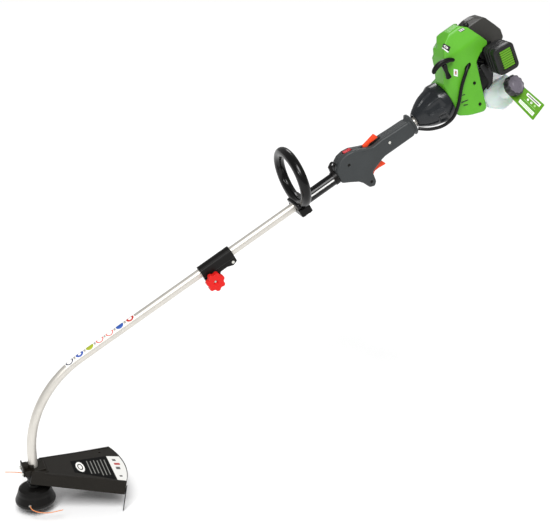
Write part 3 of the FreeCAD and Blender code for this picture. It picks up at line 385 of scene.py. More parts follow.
def finish_shelf():
    """Every finish that more than one piece takes, made once."""
    look = bpy.context.scene.trimmer_colours
    if FINISH:
        return FINISH
    # Satin anodised aluminium: warm silver, dull, its highlight spread wide round the tube.
    FINISH["tube"] = metal("Satin anodised aluminium", look.tube, 0.4, 0.9, 0.012, (1, 1, 1),
                           tinted(look.tube, 0.93), 0.7)
    # Injection moulded ABS, polished tool: bright leaf green with a soft broad gloss and faint flow unevenness.
    FINISH["shroud_abs"] = moulded("Leaf green ABS", look.shroud, 0.34, 3.0, 0.02, 0.07, Specular_IOR_Level=0.3,
                                   Coat_Weight=0.06, Coat_Roughness=0.25)
    # Glass-filled nylon from a spark-eroded tool: charcoal, matt, a fine even grain that breaks the highlight.
    FINISH["handle_nylon"] = moulded("Charcoal grained nylon", look.handle, 0.42, 0.9, 0.07, 0.14,
                                     Specular_IOR_Level=0.3)
    # Polypropylene from a smooth tool: warm black with a low sheen.
    FINISH["guard_pp"] = moulded("Warm black polypropylene", look.guard, 0.42, 1.4, 0.04, 0.14,
                                 Specular_IOR_Level=0.18)
    # Vinyl-skinned grip tube: deep black, wet-looking highlights over a slow ripple.
    FINISH["grip_vinyl"] = moulded("Gloss black vinyl grip", look.grip, 0.2, 7.0, 0.05, 0.12,
                                   Specular_IOR_Level=0.3)
    # Nylon mouldings of the head and clamps: black, semi-matt, slightly scuffed.
    FINISH["head_nylon"] = moulded("Black moulded nylon", linear("#100F0E"), 0.34, 1.2, 0.04, 0.16,
                                   Specular_IOR_Level=0.2)
    # ABS in signal red for the hand knob.
    FINISH["knob_abs"] = moulded("Signal red ABS", look.knob, 0.38, 1.5, 0.02, 0.08,
                                 Specular_IOR_Level=0.2)
    # ABS in orange red for the finger controls: satin and slightly waxy.
    FINISH["control_abs"] = moulded("Orange red ABS", look.control, 0.38, 1.2, 0.02, 0.07,
                                    Specular_IOR_Level=0.3)
    # Heat-stable nylon over the hot side: dark grey, matt, browned a little.
    FINISH["cover_nylon"] = moulded("Dark grey heat-stable nylon", linear("#393835"), 0.36, 1.1, 0.05, 0.12,
                                    Specular_IOR_Level=0.3)
    # Nylon round the air filter: black, smooth, its edges catch a narrow light.
    FINISH["filter_nylon"] = moulded("Black filter moulding", linear("#1E1E1E"), 0.32, 1.3, 0.03, 0.14,
                                     Specular_IOR_Level=0.3)
    # EPDM rubber: dead black, soft sheen, no sharp highlight.
    FINISH["rubber"] = moulded("Black EPDM rubber", linear("#0E0E0E"), 0.36, 0.8, 0.03, 0.12,
                               Specular_IOR_Level=0.25)
    # Die-cast aluminium: pale grey, grainy skin from the tool.
    FINISH["cast"] = metal("Die-cast aluminium", linear("#B9B9B6"), 0.45, 0.8, 0.06)
    # Ground and turned steel: fine rings round the axis show as a drawn streak.
    FINISH["steel"] = metal("Ground steel", linear("#A9AAAC"), 0.26, 0.5, 0.01, (1, 6, 6))
    # Bright zinc plate on fasteners: cool white with a faint yellow cast.
    FINISH["zinc"] = metal("Bright zinc plate", linear("#D8D8D0"), 0.28, 0.6, 0.01)
    # Spring wire with a dark oiled skin.
    FINISH["spring"] = metal("Oiled spring wire", linear("#6E6C68"), 0.3, 0.5, 0.01)
    # Exhaust steel: heat has turned it straw and brown.
    FINISH["exhaust"] = metal("Heat-stained exhaust steel", linear("#8B8078"), 0.42, 1.0, 0.03, (1, 1, 1),
                              linear("#5B4232"))
    # Glazed porcelain of the plug: white and glassy.
    FINISH["porcelain"] = moulded("Glazed porcelain", linear("#F2EFE8"), 0.16, 4.0, 0.01, 0.03,
                                  Coat_Weight=0.6)
    return FINISH


def translucent_tank():
    """Blow-moulded polyethylene: milky, faintly green, light passes and scatters through the wall."""
    material, tree, place = started("Milky blow-moulded polyethylene")
    slow = noise(tree, place, 35, 2.0)
    fine = noise(tree, place, 1.2, 3.0)
    base = over(tree, ramp(tree, slow, 0.35, 0.7, 0, 1), linear("#E9F2EC"), linear("#FAFDFB"))
    return finished(material, tree, fine, 0.03, 0.8, Base_Color=base, Roughness=0.3, IOR=1.5,
                    Transmission_Weight=0.18, Subsurface_Weight=0.35, Subsurface_Scale=0.01)


def nylon_line():
    """Drawn nylon monofilament: orange, glassy, the ends of the section scatter a little light."""
    material, tree, place = started("Orange nylon monofilament")
    fine = noise(tree, place, 2.0, 2.0)
    orange = bpy.context.scene.trimmer_colours.line
    return finished(material, tree, fine, 0.03, 0.6, Base_Color=over(tree, fine, tinted(orange, 0.85), orange),
                    Roughness=0.3, Subsurface_Weight=0.2, Subsurface_Scale=0.002)


def filter_foam(name, colour):
    """Open-cell polyurethane foam: cells of about 1.5 mm, coarse enough to show, with painted shade darkening their
    hollows.
    """
    material, tree, place = started(name)
    cells = add(tree, "TexVoronoi", None, Vector=place, Scale=1 / (1.5 * MM)).outputs["Distance"]
    # Painted shade: the colour darkens where the cell relief is deepest, in the hollows.
    base = over(tree, ramp(tree, cells, 0.1, 0.6, 1, 0), tinted(colour, 0.55), colour)
    return finished(material, tree, cells, 0.4, 1.0, {"invert": True}, Base_Color=base, Roughness=0.75)


def band(tree, value, low, high):
    """1 where value lies between low and high."""
    above = add(tree, "Math", {"operation": "GREATER_THAN"}, _0=value, _1=low).outputs[0]
    below = add(tree, "Math", {"operation": "LESS_THAN"}, _0=value, _1=high).outputs[0]
    return add(tree, "Math", {"operation": "MULTIPLY"}, _0=above, _1=below).outputs[0]


def printed(name, paper, marks, rough=0.35, **extra):
    """Printed film: plain blocks of colour on the piece's own UV map.

    Each mark is (u low, u high, v low, v high, colour)
    or (u centre, v centre, half width, half height, inner share, colour) for an oval ring."""
    material, tree, place = started(name)
    spot = add(tree, "SeparateXYZ", None, Vector=add(tree, "UVMap", {"uv_map": "UVMap"}).outputs[0])
    u, v = spot.outputs[0], spot.outputs[1]
    fine = noise(tree, place, 1.5, 3.0)
    colour = over(tree, fine, tinted(paper, 0.93), tinted(paper, 1.03))
    for mark in marks:
        if len(mark) == 5:
            where = add(tree, "Math", {"operation": "MULTIPLY"}, _0=band(tree, u, mark[0], mark[1]),
                        _1=band(tree, v, mark[2], mark[3])).outputs[0]
        else:
            x, y = (add(tree, "MapRange", {"clamp": False}, Value=value, From_Min=mark[k],
                        From_Max=mark[k] + mark[k + 2]).outputs[0] for k, value in enumerate((u, v)))
            apart = add(tree, "CombineXYZ", None, X=x, Y=y).outputs[0]
            far = add(tree, "VectorMath", {"operation": "LENGTH"}, _0=apart).outputs["Value"]
            where = band(tree, far, mark[4], 1.0)
        colour = over(tree, where, colour, mark[-1])
    return finished(material, tree, fine, 0.01, 0.5, Base_Color=colour, Roughness=rough, **extra)


# The screws that are left bright: along, across and up the boom.
BRIGHT_SCREWS = ((975, -19.5, 1), (459, -16.7, -21))


def case_screw_finish():
    """Screws: black oxide, dull and dark, but bright zinc near the two that catch the eye."""
    material, tree, place = started("Black oxide and zinc screws")
    near = 1.0
    for spot in BRIGHT_SCREWS:
        apart = add(tree, "VectorMath", {"operation": "DISTANCE"}, _0=place, _1=tuple(boom(*spot)))
        near = add(tree, "Math", {"operation": "MINIMUM"}, _0=apart.outputs["Value"], _1=near).outputs[0]
    fine = noise(tree, place, 0.6, 4.0)
    dark = over(tree, fine, linear("#1B1B1A"), linear("#2E2D2B"))
    base = over(tree, ramp(tree, near, 6 * MM, 8 * MM, 1, 0), dark, linear("#E4E4DC"))
    gloss = ramp(tree, fine, 0.3, 0.7, 0.28, 0.4)
    return finished(material, tree, fine, 0.02, 0.8, Base_Color=base, Metallic=1.0, Roughness=gloss)


def dress(finish, *nodes):
    """A finish put on CAD nodes that keep their shape."""
    for node in nodes:
        data = frame["nodes"][node].data
        data.materials.clear()
        data.materials.append(finish)


# ---- what a user may change ----
def tone(label, code, what):
    return bpy.props.FloatVectorProperty(name=label, description=what, subtype="COLOR", size=3, min=0, max=1,
                                         default=linear(code))


def length(label, value, what):
    return bpy.props.FloatProperty(name=label, description=what, default=value, min=0.01, subtype="DISTANCE",
                                   unit="NONE")


class TrimmerColours(bpy.types.PropertyGroup):
    """Colours of the trimmer's main finishes."""
    tube: tone("Tube", "#DEDAD2", "Anodised finish of the two tubes")
    shroud: tone("Shroud", "#5AAC28", "Engine shroud")
    handle: tone("Rear handle", "#383B3C", "Rear handle halves")
    guard: tone("Guard", "#191611", "Debris guard")
    grip: tone("Grip", "#060606", "Loop handle and sleeve")
    knob: tone("Clamp knob", "#DA201C", "Knob of the shaft coupler")
    control: tone("Finger controls", "#F2481C", "Trigger, lockout and stop switch")
    line: tone("Cutting line", "#EB9258", "Nylon line")


class TrimmerSizes(bpy.types.PropertyGroup):
    """Sizes of the fine pieces, in millimetres."""
    film: length("Label film", 0.15, "Thickness of every printed label, in millimetres")
    net: length("Moulding net", 1.6, "Cell of the net that rounds the big mouldings, in millimetres")
    lobes: bpy.props.IntProperty(name="Cap lobes", description="Finger lobes of the fuel cap", default=12, min=3)
    slats: bpy.props.IntProperty(name="Filter slats", description="Slats of the grille", default=8, min=2)
    line: length("Line", 2.4, "Diameter of the cutting line, in millimetres")


# ---- stage ----
CAMERA_AT = (-1.2007, -2.7348, 0.8459)
CAMERA_TO = (-0.1600, 0.0, -0.2541)
CAMERA_LENS = 77.67
LIGHTS = (  # name, place, size and watts, all aimed at the middle of the boom
    ("Side strip", (-2.4, -2.2, 1.6), 0.5, 20.0),
    ("Back strip", (0.8, 2.4, 2.2), 1.0, 16.0),
)
KEY_FROM, KEY_STRENGTH, KEY_SPREAD = (-0.2, -0.85, 1.25), 2.5, 0.5
SKY_STRENGTH = 0.36
FLOOR_REACH, FLOOR_ROWS = 18, 15


def aimed(obj, target):
    """obj turned so that its -Z looks at target."""
    obj.rotation_euler = (Vector(target) - obj.location).to_track_quat("-Z", "Y").to_euler()


class TRIMMER_OT_stage(bpy.types.Operator):
    """Camera, studio lights, pale floor"""
    bl_idname = "trimmer.stage"
    bl_label = "Stage"

    def execute(self, context):
        scene = context.scene
        camera = linked("Camera", bpy.data.cameras.new("Camera"))
        camera.data.lens, camera.data.sensor_width = CAMERA_LENS, 36.0
        camera.location = CAMERA_AT
        aimed(camera, CAMERA_TO)
        scene.camera = camera
        for name, place, size, watts in LIGHTS:
            lamp = bpy.data.lights.new(name, "AREA")
            lamp.shape, lamp.size, lamp.energy = "DISK", size, watts
            holder = linked(name, lamp)
            holder.location = place
            aimed(holder, CAMERA_TO)
        sun = bpy.data.lights.new("Key", "SUN")
        sun.energy, sun.angle = KEY_STRENGTH, KEY_SPREAD
        key = linked("Key", sun)
        key.location = KEY_FROM
        aimed(key, (0, 0, 0))
        world = bpy.data.worlds.new("Studio")
        world.use_nodes = True
        sky = world.node_tree.nodes["Background"].inputs
        sky[0].default_value, sky[1].default_value = (1, 1, 1, 1), SKY_STRENGTH
        scene.world = world
        scene.view_settings.view_transform = "Standard"
        low = CAD_BOX[0][2] - 1 * MM
        side = np.linspace(-FLOOR_REACH, FLOOR_REACH, FLOOR_ROWS)
        x, y = np.meshgrid(side, side, indexing="ij")
        floor_mesh = bpy.data.meshes.new("Floor")
        tiles = grid_faces(FLOOR_ROWS, FLOOR_ROWS, False, False)
        floor_mesh.from_pydata(stacked(x, y, low).reshape(-1, 3), [], tiles)
        floor = linked("Floor", floor_mesh)
        # Matt white paper sweep: even, no gloss, a breath of unevenness.
        floor_mesh.materials.append(moulded("White paper sweep", linear("#FFFFFF"), 0.9, 40.0, 0.01, 0.005,
                                            Specular_IOR_Level=0.0))
        return {"FINISHED"}


# ---- cutting line ----
# Name, route from the eyelet outwards in the head's millimetres, and length in metres.
LINE_TAILS = (
    ("near", ((-21.5, -45.5, -88), (-22, -56, -90), (-13, -66, -94), (2, -74, -97), (20, -80, -97.5),
              (38, -84, -95), (55, -87, -92)), 0.0964),
    ("far", ((21.5, 45.5, -88), (25, 60, -88), (25, 77, -87), (16, 95, -86), (2, 111, -85.5), (-16, 124, -85),
             (-36, 134, -84), (-56, 141, -84)), 0.1385),
)


class TRIMMER_OT_line(bpy.types.Operator):
    """The two free ends of the cutting line, each one smooth NURBS curve"""
    bl_idname = "trimmer.line"
    bl_label = "Cutting line"

    def execute(self, context):
        finish = nylon_line()
        across = context.scene.trimmer_sizes.line * MM
        for name, route, real in LINE_TAILS:
            points = head(*np.asarray(route, float).T)
            curve = bpy.data.curves.new("cutting_line_" + name, "CURVE")
            curve.dimensions, curve.bevel_depth = "3D", across / 2
            curve.bevel_resolution, curve.use_fill_caps = 4, True
            spline = curve.splines.new("NURBS")
            spline.points.add(len(points) - 1)
            spline.points.foreach_set("co", np.c_[points, np.ones(len(points))].ravel())
            spline.order_u, spline.use_endpoint_u, spline.resolution_u = 3, True, 12
            obj = linked("cutting_line_" + name, curve)
            curve.materials.append(finish)
            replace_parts(obj, "line_tail_" + name)
            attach(obj, "line_head")
            tuple(points[0])
        return {"FINISHED"}


# ---- boom ----
BEND_R = 280.0
BEND_TURN = math.radians(60)
LOWER_STRAIGHT = 42.0
TUBE_R = 12.0
TUBE_GAP = 0.02
STICKERS = (  # mm along the tube from the bend's start, the mark's colour, its hole as a share of its radius
    (267, "#30344C", 0.72), (298, "#3A57A8", 0.45), (329, "#A3AE2C", 0.0), (360, "#D84A3E", 0.74),
    (390, "#E2554A", 0.74), (421, "#2F56A6", 0.0), (453, "#B92E26", 0.5),
)
STICKER_PAPER = "#F4F3EF"
STICKER_HALF, STICKER_LOW, STICKER_HIGH = 13, 30, 128


def tube_line(t):
    """Centre and direction of the lower tube t mm past the bend's start: an arc, then straight."""
    end = BEND_R * BEND_TURN
    angle = np.minimum(t, end) / BEND_R
    x, z = BEND_R * (1 - np.cos(angle)), LOWER_STRAIGHT + BEND_R * np.sin(angle)
    along = stacked(np.sin(angle), 0.0, np.cos(angle))
    rest = np.maximum(t - end, 0)
    return stacked(x, 0.0, z) + along * rest[..., None], along


def tube_film(start, stop, low, high, film):
    """Film bent round the lower tube: t along it, the angle round it from the near side upwards."""
    turn = np.radians(np.linspace(low, high, 13))
    t, a = np.meshgrid(np.linspace(start, stop, 13), turn, indexing="ij")
    centre, along = tube_line(t)
    near = stacked(0.0 * t, -1.0, 0.0)
    up = np.cross(along, near)
    up = np.where(up[..., 2:] < 0, -up, up)
    out = np.cos(a)[..., None] * near + np.sin(a)[..., None] * up
    points = centre + out * (TUBE_R + TUBE_GAP)
    way = 1.0 if np.dot(normals_of(points).mean((0, 1)), out.mean((0, 1))) > 0 else -1.0
    return moved(slab(points, film, way), head)


class TRIMMER_OT_boom(bpy.types.Operator):
    """Tubes, shafts and the seven plain colour stickers on the lower tube"""
    bl_idname = "trimmer.boom"
    bl_label = "Boom"

    def execute(self, context):
        shelf = finish_shelf()
        dress(shelf["tube"], "lower_tube", "upper_tube")
        dress(shelf["steel"], "flexible_drive_cable", "upper_drive_shaft", "output_arbor", "head_bearings")
        film = context.scene.trimmer_sizes.film
        for k, (middle, mark, hole) in enumerate(STICKERS):
            ring = (0.5, 0.5, 0.45, 0.42, hole, linear(mark))
            # Printed vinyl film: plain coloured discs and rings, semi-gloss.
            finish = printed(f"Printed vinyl disc {k + 1}", linear(STICKER_PAPER), [ring])
            shell = tube_film(middle - STICKER_HALF, middle + STICKER_HALF, STICKER_LOW, STICKER_HIGH, film)
            piece(f"tube_sticker_{k + 1}", [shell], finish, "lower_boom")
        return {"FINISHED"}


# ---- coupler and front handle ----
class TRIMMER_OT_coupler(bpy.types.Operator):
    """Shaft coupler with its red hand knob and screws"""
    bl_idname = "trimmer.coupler"
    bl_label = "Coupler"

    def execute(self, context):
        shelf = finish_shelf()
        dress(shelf["head_nylon"], "coupler_shell_near", "coupler_shell_far")
        dress(shelf["zinc"], "knob_bolt", "locating_button", "handle_pins", "guard_bolts")
        dress(shelf["spring"], "loop_bolts")
        dress(case_screw_finish(), "case_screws")
        softened("coupler_knob", "clamp_knob_moulding", 0.9, 4, shelf["knob_abs"])
        return {"FINISHED"}


SEAM_SPAN = (716.0, 797.0)
SEAM_TURN, SEAM_SPREAD = math.radians(14), math.radians(7.2)
SEAM_R, SEAM_DEEP = 14.6, 1.6
RIB_SPAN, RIB_R = (714.5, 798.0), 0.9
RIB_PLACES = ((-15.0, 7.6), (-16.6, 0.4))  # across and up the boom


class TRIMMER_OT_loop(bpy.types.Operator):
    """Loop handle, its clamp, the grip sleeve and the harness eye"""
    bl_idname = "trimmer.loop"
    bl_label = "Loop handle"

    def execute(self, context):
        shelf = finish_shelf()
        dress(shelf["grip_vinyl"], "loop_handle", "grip_sleeve")
        dress(shelf["head_nylon"], "loop_clamp", "hanger_clamp")
        # Painted highlight: a near white, satin strip laid in the sleeve's seam stands in for the long highlight on
        # the gloss black sleeve.
        pale = moulded("Painted highlight strip", linear("#F2F2F0"), 0.3, 2.0, 0.01, 0.03)
        turn = SEAM_TURN + np.linspace(-1, 1, 7) * SEAM_SPREAD
        along, round_it = np.meshgrid(np.linspace(*SEAM_SPAN, 20), turn, indexing="ij")
        sheet = boom(along, -SEAM_R * np.cos(round_it), SEAM_R * np.sin(round_it))
        out = 1.0 if (normals_of(sheet)[..., 1].mean() < 0) else -1.0
        piece("sleeve_painted_highlight_strip", [slab(sheet, SEAM_DEEP * MM, out)], pale, "boom")
        size = RIB_R * MM * domed(34, 0.06)
        for k, (y, u) in enumerate(RIB_PLACES):
            rib = grid(swept(boom(np.linspace(*RIB_SPAN, 34), y, u), size, size, (0, -1, 0), 12))
            piece(f"sleeve_rib_{k + 1}", [rib], shelf["grip_vinyl"], "boom")
        return {"FINISHED"}


class TRIMMER_OT_handle(bpy.types.Operator):
    """Rear handle halves, trigger, lockout and stop switch"""
    bl_idname = "trimmer.handle"
    bl_label = "Rear handle"

    def execute(self, context):
        shelf = finish_shelf()
        for side in ("near", "far"):
            softened("rear_handle_" + side, "handle_half_" + side, 1.3, 10, shelf["handle_nylon"])
        softened("throttle_trigger", "trigger_blade", 0.8, 4, shelf["control_abs"])
        softened("throttle_lockout", "lockout_lever", 0.8, 4, shelf["control_abs"])
        # ABS in a deeper red for the stop switch, satin.
        crimson = moulded("Crimson ABS", linear("#C7202C"), 0.34, 1.2, 0.02)
        softened("stop_switch", "stop_rocker", 0.7, 3, crimson)
        return {"FINISHED"}


# ---- engine ----
# Depth as a share of the radius, place and half-width along the boom, place and half-width round it.
CLUTCH_HOLLOWS = ((0.15, 1130, 12, 2.02, 0.30), (0.12, 1120, 22, 1.22, 0.24), (0.10, 1112, 26, 0.52, 0.22),
                  (0.10, 1112, 24, 2.75, 0.22))
CLUTCH_S = (1068, 1070, 1078, 1090, 1100, 1108, 1116, 1124, 1132, 1138, 1140, 1142, 1148, 1156, 1162, 1165.4)
CLUTCH_R = (19.2, 21, 27, 35, 40.6, 44.6, 47.6, 50.0, 52.0, 53.2, 55, 55.4, 55.2, 54.4, 53.6, 53.0)
CLUTCH_AXIS, CLUTCH_WALL, CLUTCH_BORE = (0, 0, 3), 4.0, 12.2


def clutch_swell(distance, angle):
    """Radius factor: 1 less each hollow's depth times exp(-along^6 - round^6), the same on both sides."""
    turn = np.abs(np.mod(angle + math.pi, 2 * math.pi) - math.pi)
    factor = np.ones_like(distance)
    for depth, place, reach, where, spread in CLUTCH_HOLLOWS:
        factor -= depth * np.exp(-((distance - place) / reach) ** 6 - ((turn - where) / spread) ** 6)
    return factor


def clutch_shell():
    """Outer skin by the tapered profile and the swell, an inner skin a wall inside it, joined at both rims."""
    fine = np.linspace(CLUTCH_S[0], CLUTCH_S[-1], 80)
    radius = np.interp(fine, CLUTCH_S, CLUTCH_R)
    inner = np.c_[fine, np.maximum(radius - CLUTCH_WALL, CLUTCH_BORE)][::-1]
    skins = [turned(skin, CLUTCH_AXIS, (1, 0, 0), 160, clutch_swell) for skin in (np.c_[fine, radius], inner)]
    return moved(grid(np.concatenate(skins), wrap_rows=True), boom)


class TRIMMER_OT_clutch(bpy.types.Operator):
    """Clutch housing with its shallow hollows, and the parts in it"""
    bl_idname = "trimmer.clutch"
    bl_label = "Clutch housing"

    def execute(self, context):
        shelf = finish_shelf()
        # Glass-filled nylon: dark grey, broad soft highlights round the hollows.
        finish = moulded("Dark glass-filled nylon", linear("#1D2023"), 0.24, 1.1, 0.04, 0.14,
                         Specular_IOR_Level=0.4)
        obj = piece("clutch_housing_moulding", [clutch_shell()], finish, "boom")
        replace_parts(obj, "clutch_housing")
        dress(shelf["steel"], "clutch_drum", "clutch_shoes", "crankshaft", "connecting_rod")
        return {"FINISHED"}


def facet(corners, count=9):
    """Bilinear sheet between four points, given round its edge: rows go from the first side to the third."""
    a, b, c, d = np.asarray(corners, float)
    v, u = shares(count, count)
    v, u = v[..., None], u[..., None]
    return (1 - v) * ((1 - u) * a + u * b) + v * ((1 - u) * d + u * c)


def label_on(corners, film, out=(0, -1, 0), place=boom):
    """A film laid on a flat facet, thickened on the side that faces out."""
    sheet = facet(corners)
    way = 1.0 if np.dot(normals_of(sheet).mean((0, 1)), out) > 0 else -1.0
    return moved(slab(sheet, film, way), place)


# Corners of each film in boom millimetres and how far out it starts before it is laid on.
SHROUD_FILMS = {
    "badge": (16, [(1207.2, -20.8, 140.8), (1216.0, -52.7, 130.9), (1230.2, -48.8, 139.1),
                   (1217.6, -23.4, 152.9)]),
    "sticker": (2, [(1198, -58, 71), (1207, -58, 62), (1215, -58, 78), (1206, -58, 87)]),
    "edge_tape": (6, [(1268.9, -38.0, 161.6), (1272.5, -41.7, 153.9), (1286.2, -42.5, 152.3),
                      (1283.8, -38.8, 159.9)]),
}
SHROUD_SLOTS = (  # both ends along and up the boom, half-width
    (1184, -5, 1205, -10, 1.6), (1186, -15, 1199, -21, 1.4), (1195, 11, 1204, 8, 1.5),
)
SHROUD_FACE_Y = -58.0


class TRIMMER_OT_shroud(bpy.types.Operator):
    """Green engine shroud with its badge, sticker, edge tape and the painted shade of its slots"""
    bl_idname = "trimmer.shroud"
    bl_label = "Engine shroud"

    def execute(self, context):
        shelf = finish_shelf()
        sizes = context.scene.trimmer_sizes
        shell = softened("engine_shroud", "shroud_moulding", sizes.net, 9, shelf["shroud_abs"])
        black, white = linear("#101010"), linear("#F3F3F1")
        # Printed badge film: black field, plain white oval and a pale strip under it.
        badge = printed("Badge film", black, [(0.5, 0.6, 0.3, 0.18, 0.5, white), (0.0, 1.0, 0.0, 0.22, white)])
        # Printed sticker film: white with a plain grey and red block.
        sticker = printed("Sticker film", white, [(0.3, 0.7, 0.2, 0.8, linear("#8A8A86")),
                                                  (0.38, 0.6, 0.35, 0.65, linear("#C8452F"))])
        # Printed edge tape: white and black bands.
        tape = printed("Banded edge tape", white, [(k, k + 0.2, 0, 1, black) for k in (0.0, 0.4, 0.8)])
        for name, finish in (("badge", badge), ("sticker", sticker), ("edge_tape", tape)):
            lift, corners = SHROUD_FILMS[name]
            sheet = moved(open_sheet(np.array(corners) + OUTWARD * lift), boom)
            laid_on(piece("shroud_" + name, [sheet], finish, "boom"), shell, sizes.film)
        slots = []
        for s0, u0, s1, u1, wide in SHROUD_SLOTS:
            stops = (s0, u0), ((s0 + s1) / 2, (u0 + u1) / 2 + 0.4), (s1, u1)
            path, round_end = smooth_path([(a, SHROUD_FACE_Y, b) for a, b in stops], 24), domed(24, 0.2)
            slots.append(moved(grid(swept(path, wide * round_end, 0.6 * round_end, (0, 1, 0), 16)), boom))
        # Painted shade: dark slabs on the shroud's face stand in for the shadowed insides of its slots.
        dark = moulded("Painted shade of the slots", linear("#16240F"), 0.6, 1.0, 0.02)
        piece("shroud_painted_slot_shade", slots, dark, "boom")
        return {"FINISHED"}


PULL_STEM = ((1181, -65, 76), (1182, -65.5, 95), (1184, -66, 119))
PULL_BOW = ((1147, -67, 113), (1156, -67, 121), (1170, -67, 125.5), (1185, -67, 125), (1202, -67, 120),
            (1215, -67, 111))


def starter_shells():
    """Stem and bow of the pull handle: rounded sections carried along two smooth lines, thick in the middle."""
    stem, bow = smooth_path(PULL_STEM, 30), smooth_path(PULL_BOW, 48)
    waist = 6.2 + 1.2 * np.cos(np.linspace(0, 2 * math.pi, 30))
    thick = (4.6 + 2.2 * np.sin(np.linspace(0, math.pi, 48))) * domed(48, 0.08)
    waist = waist * domed(30, 0.1)
    yield moved(grid(swept(stem, waist, waist, (0, 1, 0), 28, 2.6)), boom)
    yield moved(grid(swept(bow, thick, thick * 1.15, (0, 1, 0), 28, 2.4)), boom)


class TRIMMER_OT_starter(bpy.types.Operator):
    """Recoil pull handle and pulley"""
    bl_idname = "trimmer.starter"
    bl_label = "Starter"

    def execute(self, context):
        shelf = finish_shelf()
        obj = piece("pull_handle_moulding", list(starter_shells()), shelf["head_nylon"], "pull_handle")
        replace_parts(obj, "starter_handle")
        dress(shelf["head_nylon"], "starter_pulley")
        dress(shelf["cast"], "flywheel", "piston")
        # Heat paint on die-cast aluminium: black, dry, lightly speckled by the casting's skin.
        paint = moulded("Black heat paint on castings", linear("#262625"), 0.5, 0.9, 0.06, 0.2,
                        Specular_IOR_Level=0.35)
        dress(paint, "crankcase", "cylinder")
        return {"FINISHED"}


PLUG_FOOT = np.array((1264.0, -5.0, 121.0))
PLUG_WAY = unit((36.0, -26.0, 38.0))


def boot_shell():
    """Rubber boot: a profile with three grip ribs turned about the plug's axis."""
    d = np.linspace(24, 61, 60)
    r = 8.4 + 0.9 * np.clip(np.cos((d - 30) * 0.9), 0, 1) * (d < 48) - 5.5 * np.clip((d - 53) / 8, 0, 1) ** 2.2
    profile = np.concatenate([[[24.0, 0.5]], np.c_[d, r], [[61.0, 0.5]]])
    return moved(grid(turned(profile, PLUG_FOOT, PLUG_WAY, 48)), boom)


class TRIMMER_OT_hot_side(bpy.types.Operator):
    """Cylinder cover, plug, boot and muffler"""
    bl_idname = "trimmer.hot_side"
    bl_label = "Hot side"

    def execute(self, context):
        shelf = finish_shelf()
        softened("cylinder_cover", "cover_moulding", 1.4, 5, shelf["cover_nylon"])
        dress(shelf["exhaust"], "muffler")
        dress(shelf["porcelain"], "spark_plug")
        tip = PLUG_FOOT + PLUG_WAY * 50
        lead = smooth_path([tip, tip + (-9, -5, 4), tip + (-18, -5, -5), tip + (-24, -4, -14)], 40)
        wire = moved(grid(swept(lead, 3.4, 3.4, (0, 1, 0.2), 20)), boom)
        obj = piece("boot_and_lead", [boot_shell(), wire], shelf["rubber"], "boom")
        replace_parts(obj, "plug_boot")
        return {"FINISHED"}


FILTER_S, FILTER_U = 1325.0, 50.0
FILTER_LEAN = math.radians(6)
FOAM_FACE = ((-25, -107.2, -31), (25, -107.2, -31), (25, -107.2, 31), (-25, -107.2, 31))
SLAT_SPAN, SLAT_Y, SLATS_RISE = (-14, 20.5), -109.6, 50.0
INSULATOR_FACE = ((1280, -31, 30), (1300, -31, 30), (1300, -31, 70), (1280, -31, 70))


def filter_place(s, y, u):
    """Filter millimetres from its middle, leaning back, to row metres."""
    s, u = np.asarray(s, float), np.asarray(u, float)
    c, t = math.cos(FILTER_LEAN), math.sin(FILTER_LEAN)
    return boom(FILTER_S + s * c + u * t, y, FILTER_U - s * t + u * c)


class TRIMMER_OT_intake(bpy.types.Operator):
    """Air filter case, cover with its green grille, carburettor, choke and throttle cable"""
    bl_idname = "trimmer.intake"
    bl_label = "Intake"

    def execute(self, context):
        shelf = finish_shelf()
        softened("air_filter_case", "filter_case_moulding", 1.2, 4, shelf["filter_nylon"])
        softened("air_filter_cover", "filter_cover_moulding", 1.0, 4, shelf["filter_nylon"])
        piece("intake_insulator", [label_on(INSULATOR_FACE, 4.0)], shelf["filter_nylon"], "boom")
        dress(shelf["filter_nylon"], "carburettor", "choke_lever")
        dress(shelf["rubber"], "cable_conduit")
        count = context.scene.trimmer_sizes.slats
        pitch, round_end = SLATS_RISE / count, domed(24, 0.06)
        slats = []
        for k in range(count):
            path = stacked(np.linspace(*SLAT_SPAN, 24), SLAT_Y, pitch * (k + 0.5) - SLATS_RISE / 2 + 0.3)
            slat = swept(path, 1.5 * round_end, pitch * 0.40 * round_end, (0, 0, 1), 16, 4.0)
            slats.append(moved(grid(slat), filter_place))
        # Moulded slats over foam: sharp green with dark gaps.
        green = moulded("Bright green moulding", linear("#5F9B1E"), 0.4, 1.0, 0.03, Specular_IOR_Level=0.3)
        obj = piece("filter_grille", slats, green, "filter_lid")
        sheet = moved(slab(facet(FOAM_FACE), 1.6, -1.0), filter_place)
        foam = filter_foam("Dark filter foam", linear("#1C240F"))
        back = piece("filter_foam_sheet", [sheet], foam, "filter_lid")
        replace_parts(back, "air_filter_insert")
        obj.parent = back
        return {"FINISHED"}


CAP_FACE = np.array((1330.0, -90.0, -38.0))
CAP_WAY = unit((0.393, -0.845, 0.371))


def cap_shell(lobes):
    """Fuel cap: a domed skirt whose radius waves with the lobes, a dished ring in its face, a raised middle."""
    skirt = [(-19, 20.6), (-19, 27.2), (-18, 28.2), (-10, 28.6), (-4, 28.3), (-1.6, 27.4), (-0.4, 26.0),
             (0.0, 24.0)]
    face = [(0.1, 21.0), (-0.6, 19.6), (-1.5, 18.6), (-1.6, 12.0), (-1.2, 10.6), (-0.2, 9.6), (0.1, 8.0),
            (0.3, 0.3)]
    inside = [(-2.8, 0.3), (-3.0, 20.4)]

    def swell(distance, angle):
        return 1 + np.clip((distance + 20) / 4, 0, 1) * 0.042 * (np.cos(lobes * angle) - 0.8)

    outer = turned(skirt, CAP_FACE, CAP_WAY, 192, swell)
    rest = turned(face + inside, CAP_FACE, CAP_WAY, 192)
    return moved(grid(np.concatenate([outer, rest]), wrap_rows=True), boom)


TAG_DEPTH = 19.6
TAG_PRINT = ((-24, 34), (28, 34), (32, 100), (-26, 95))  # corners of the print, sideways and down the card


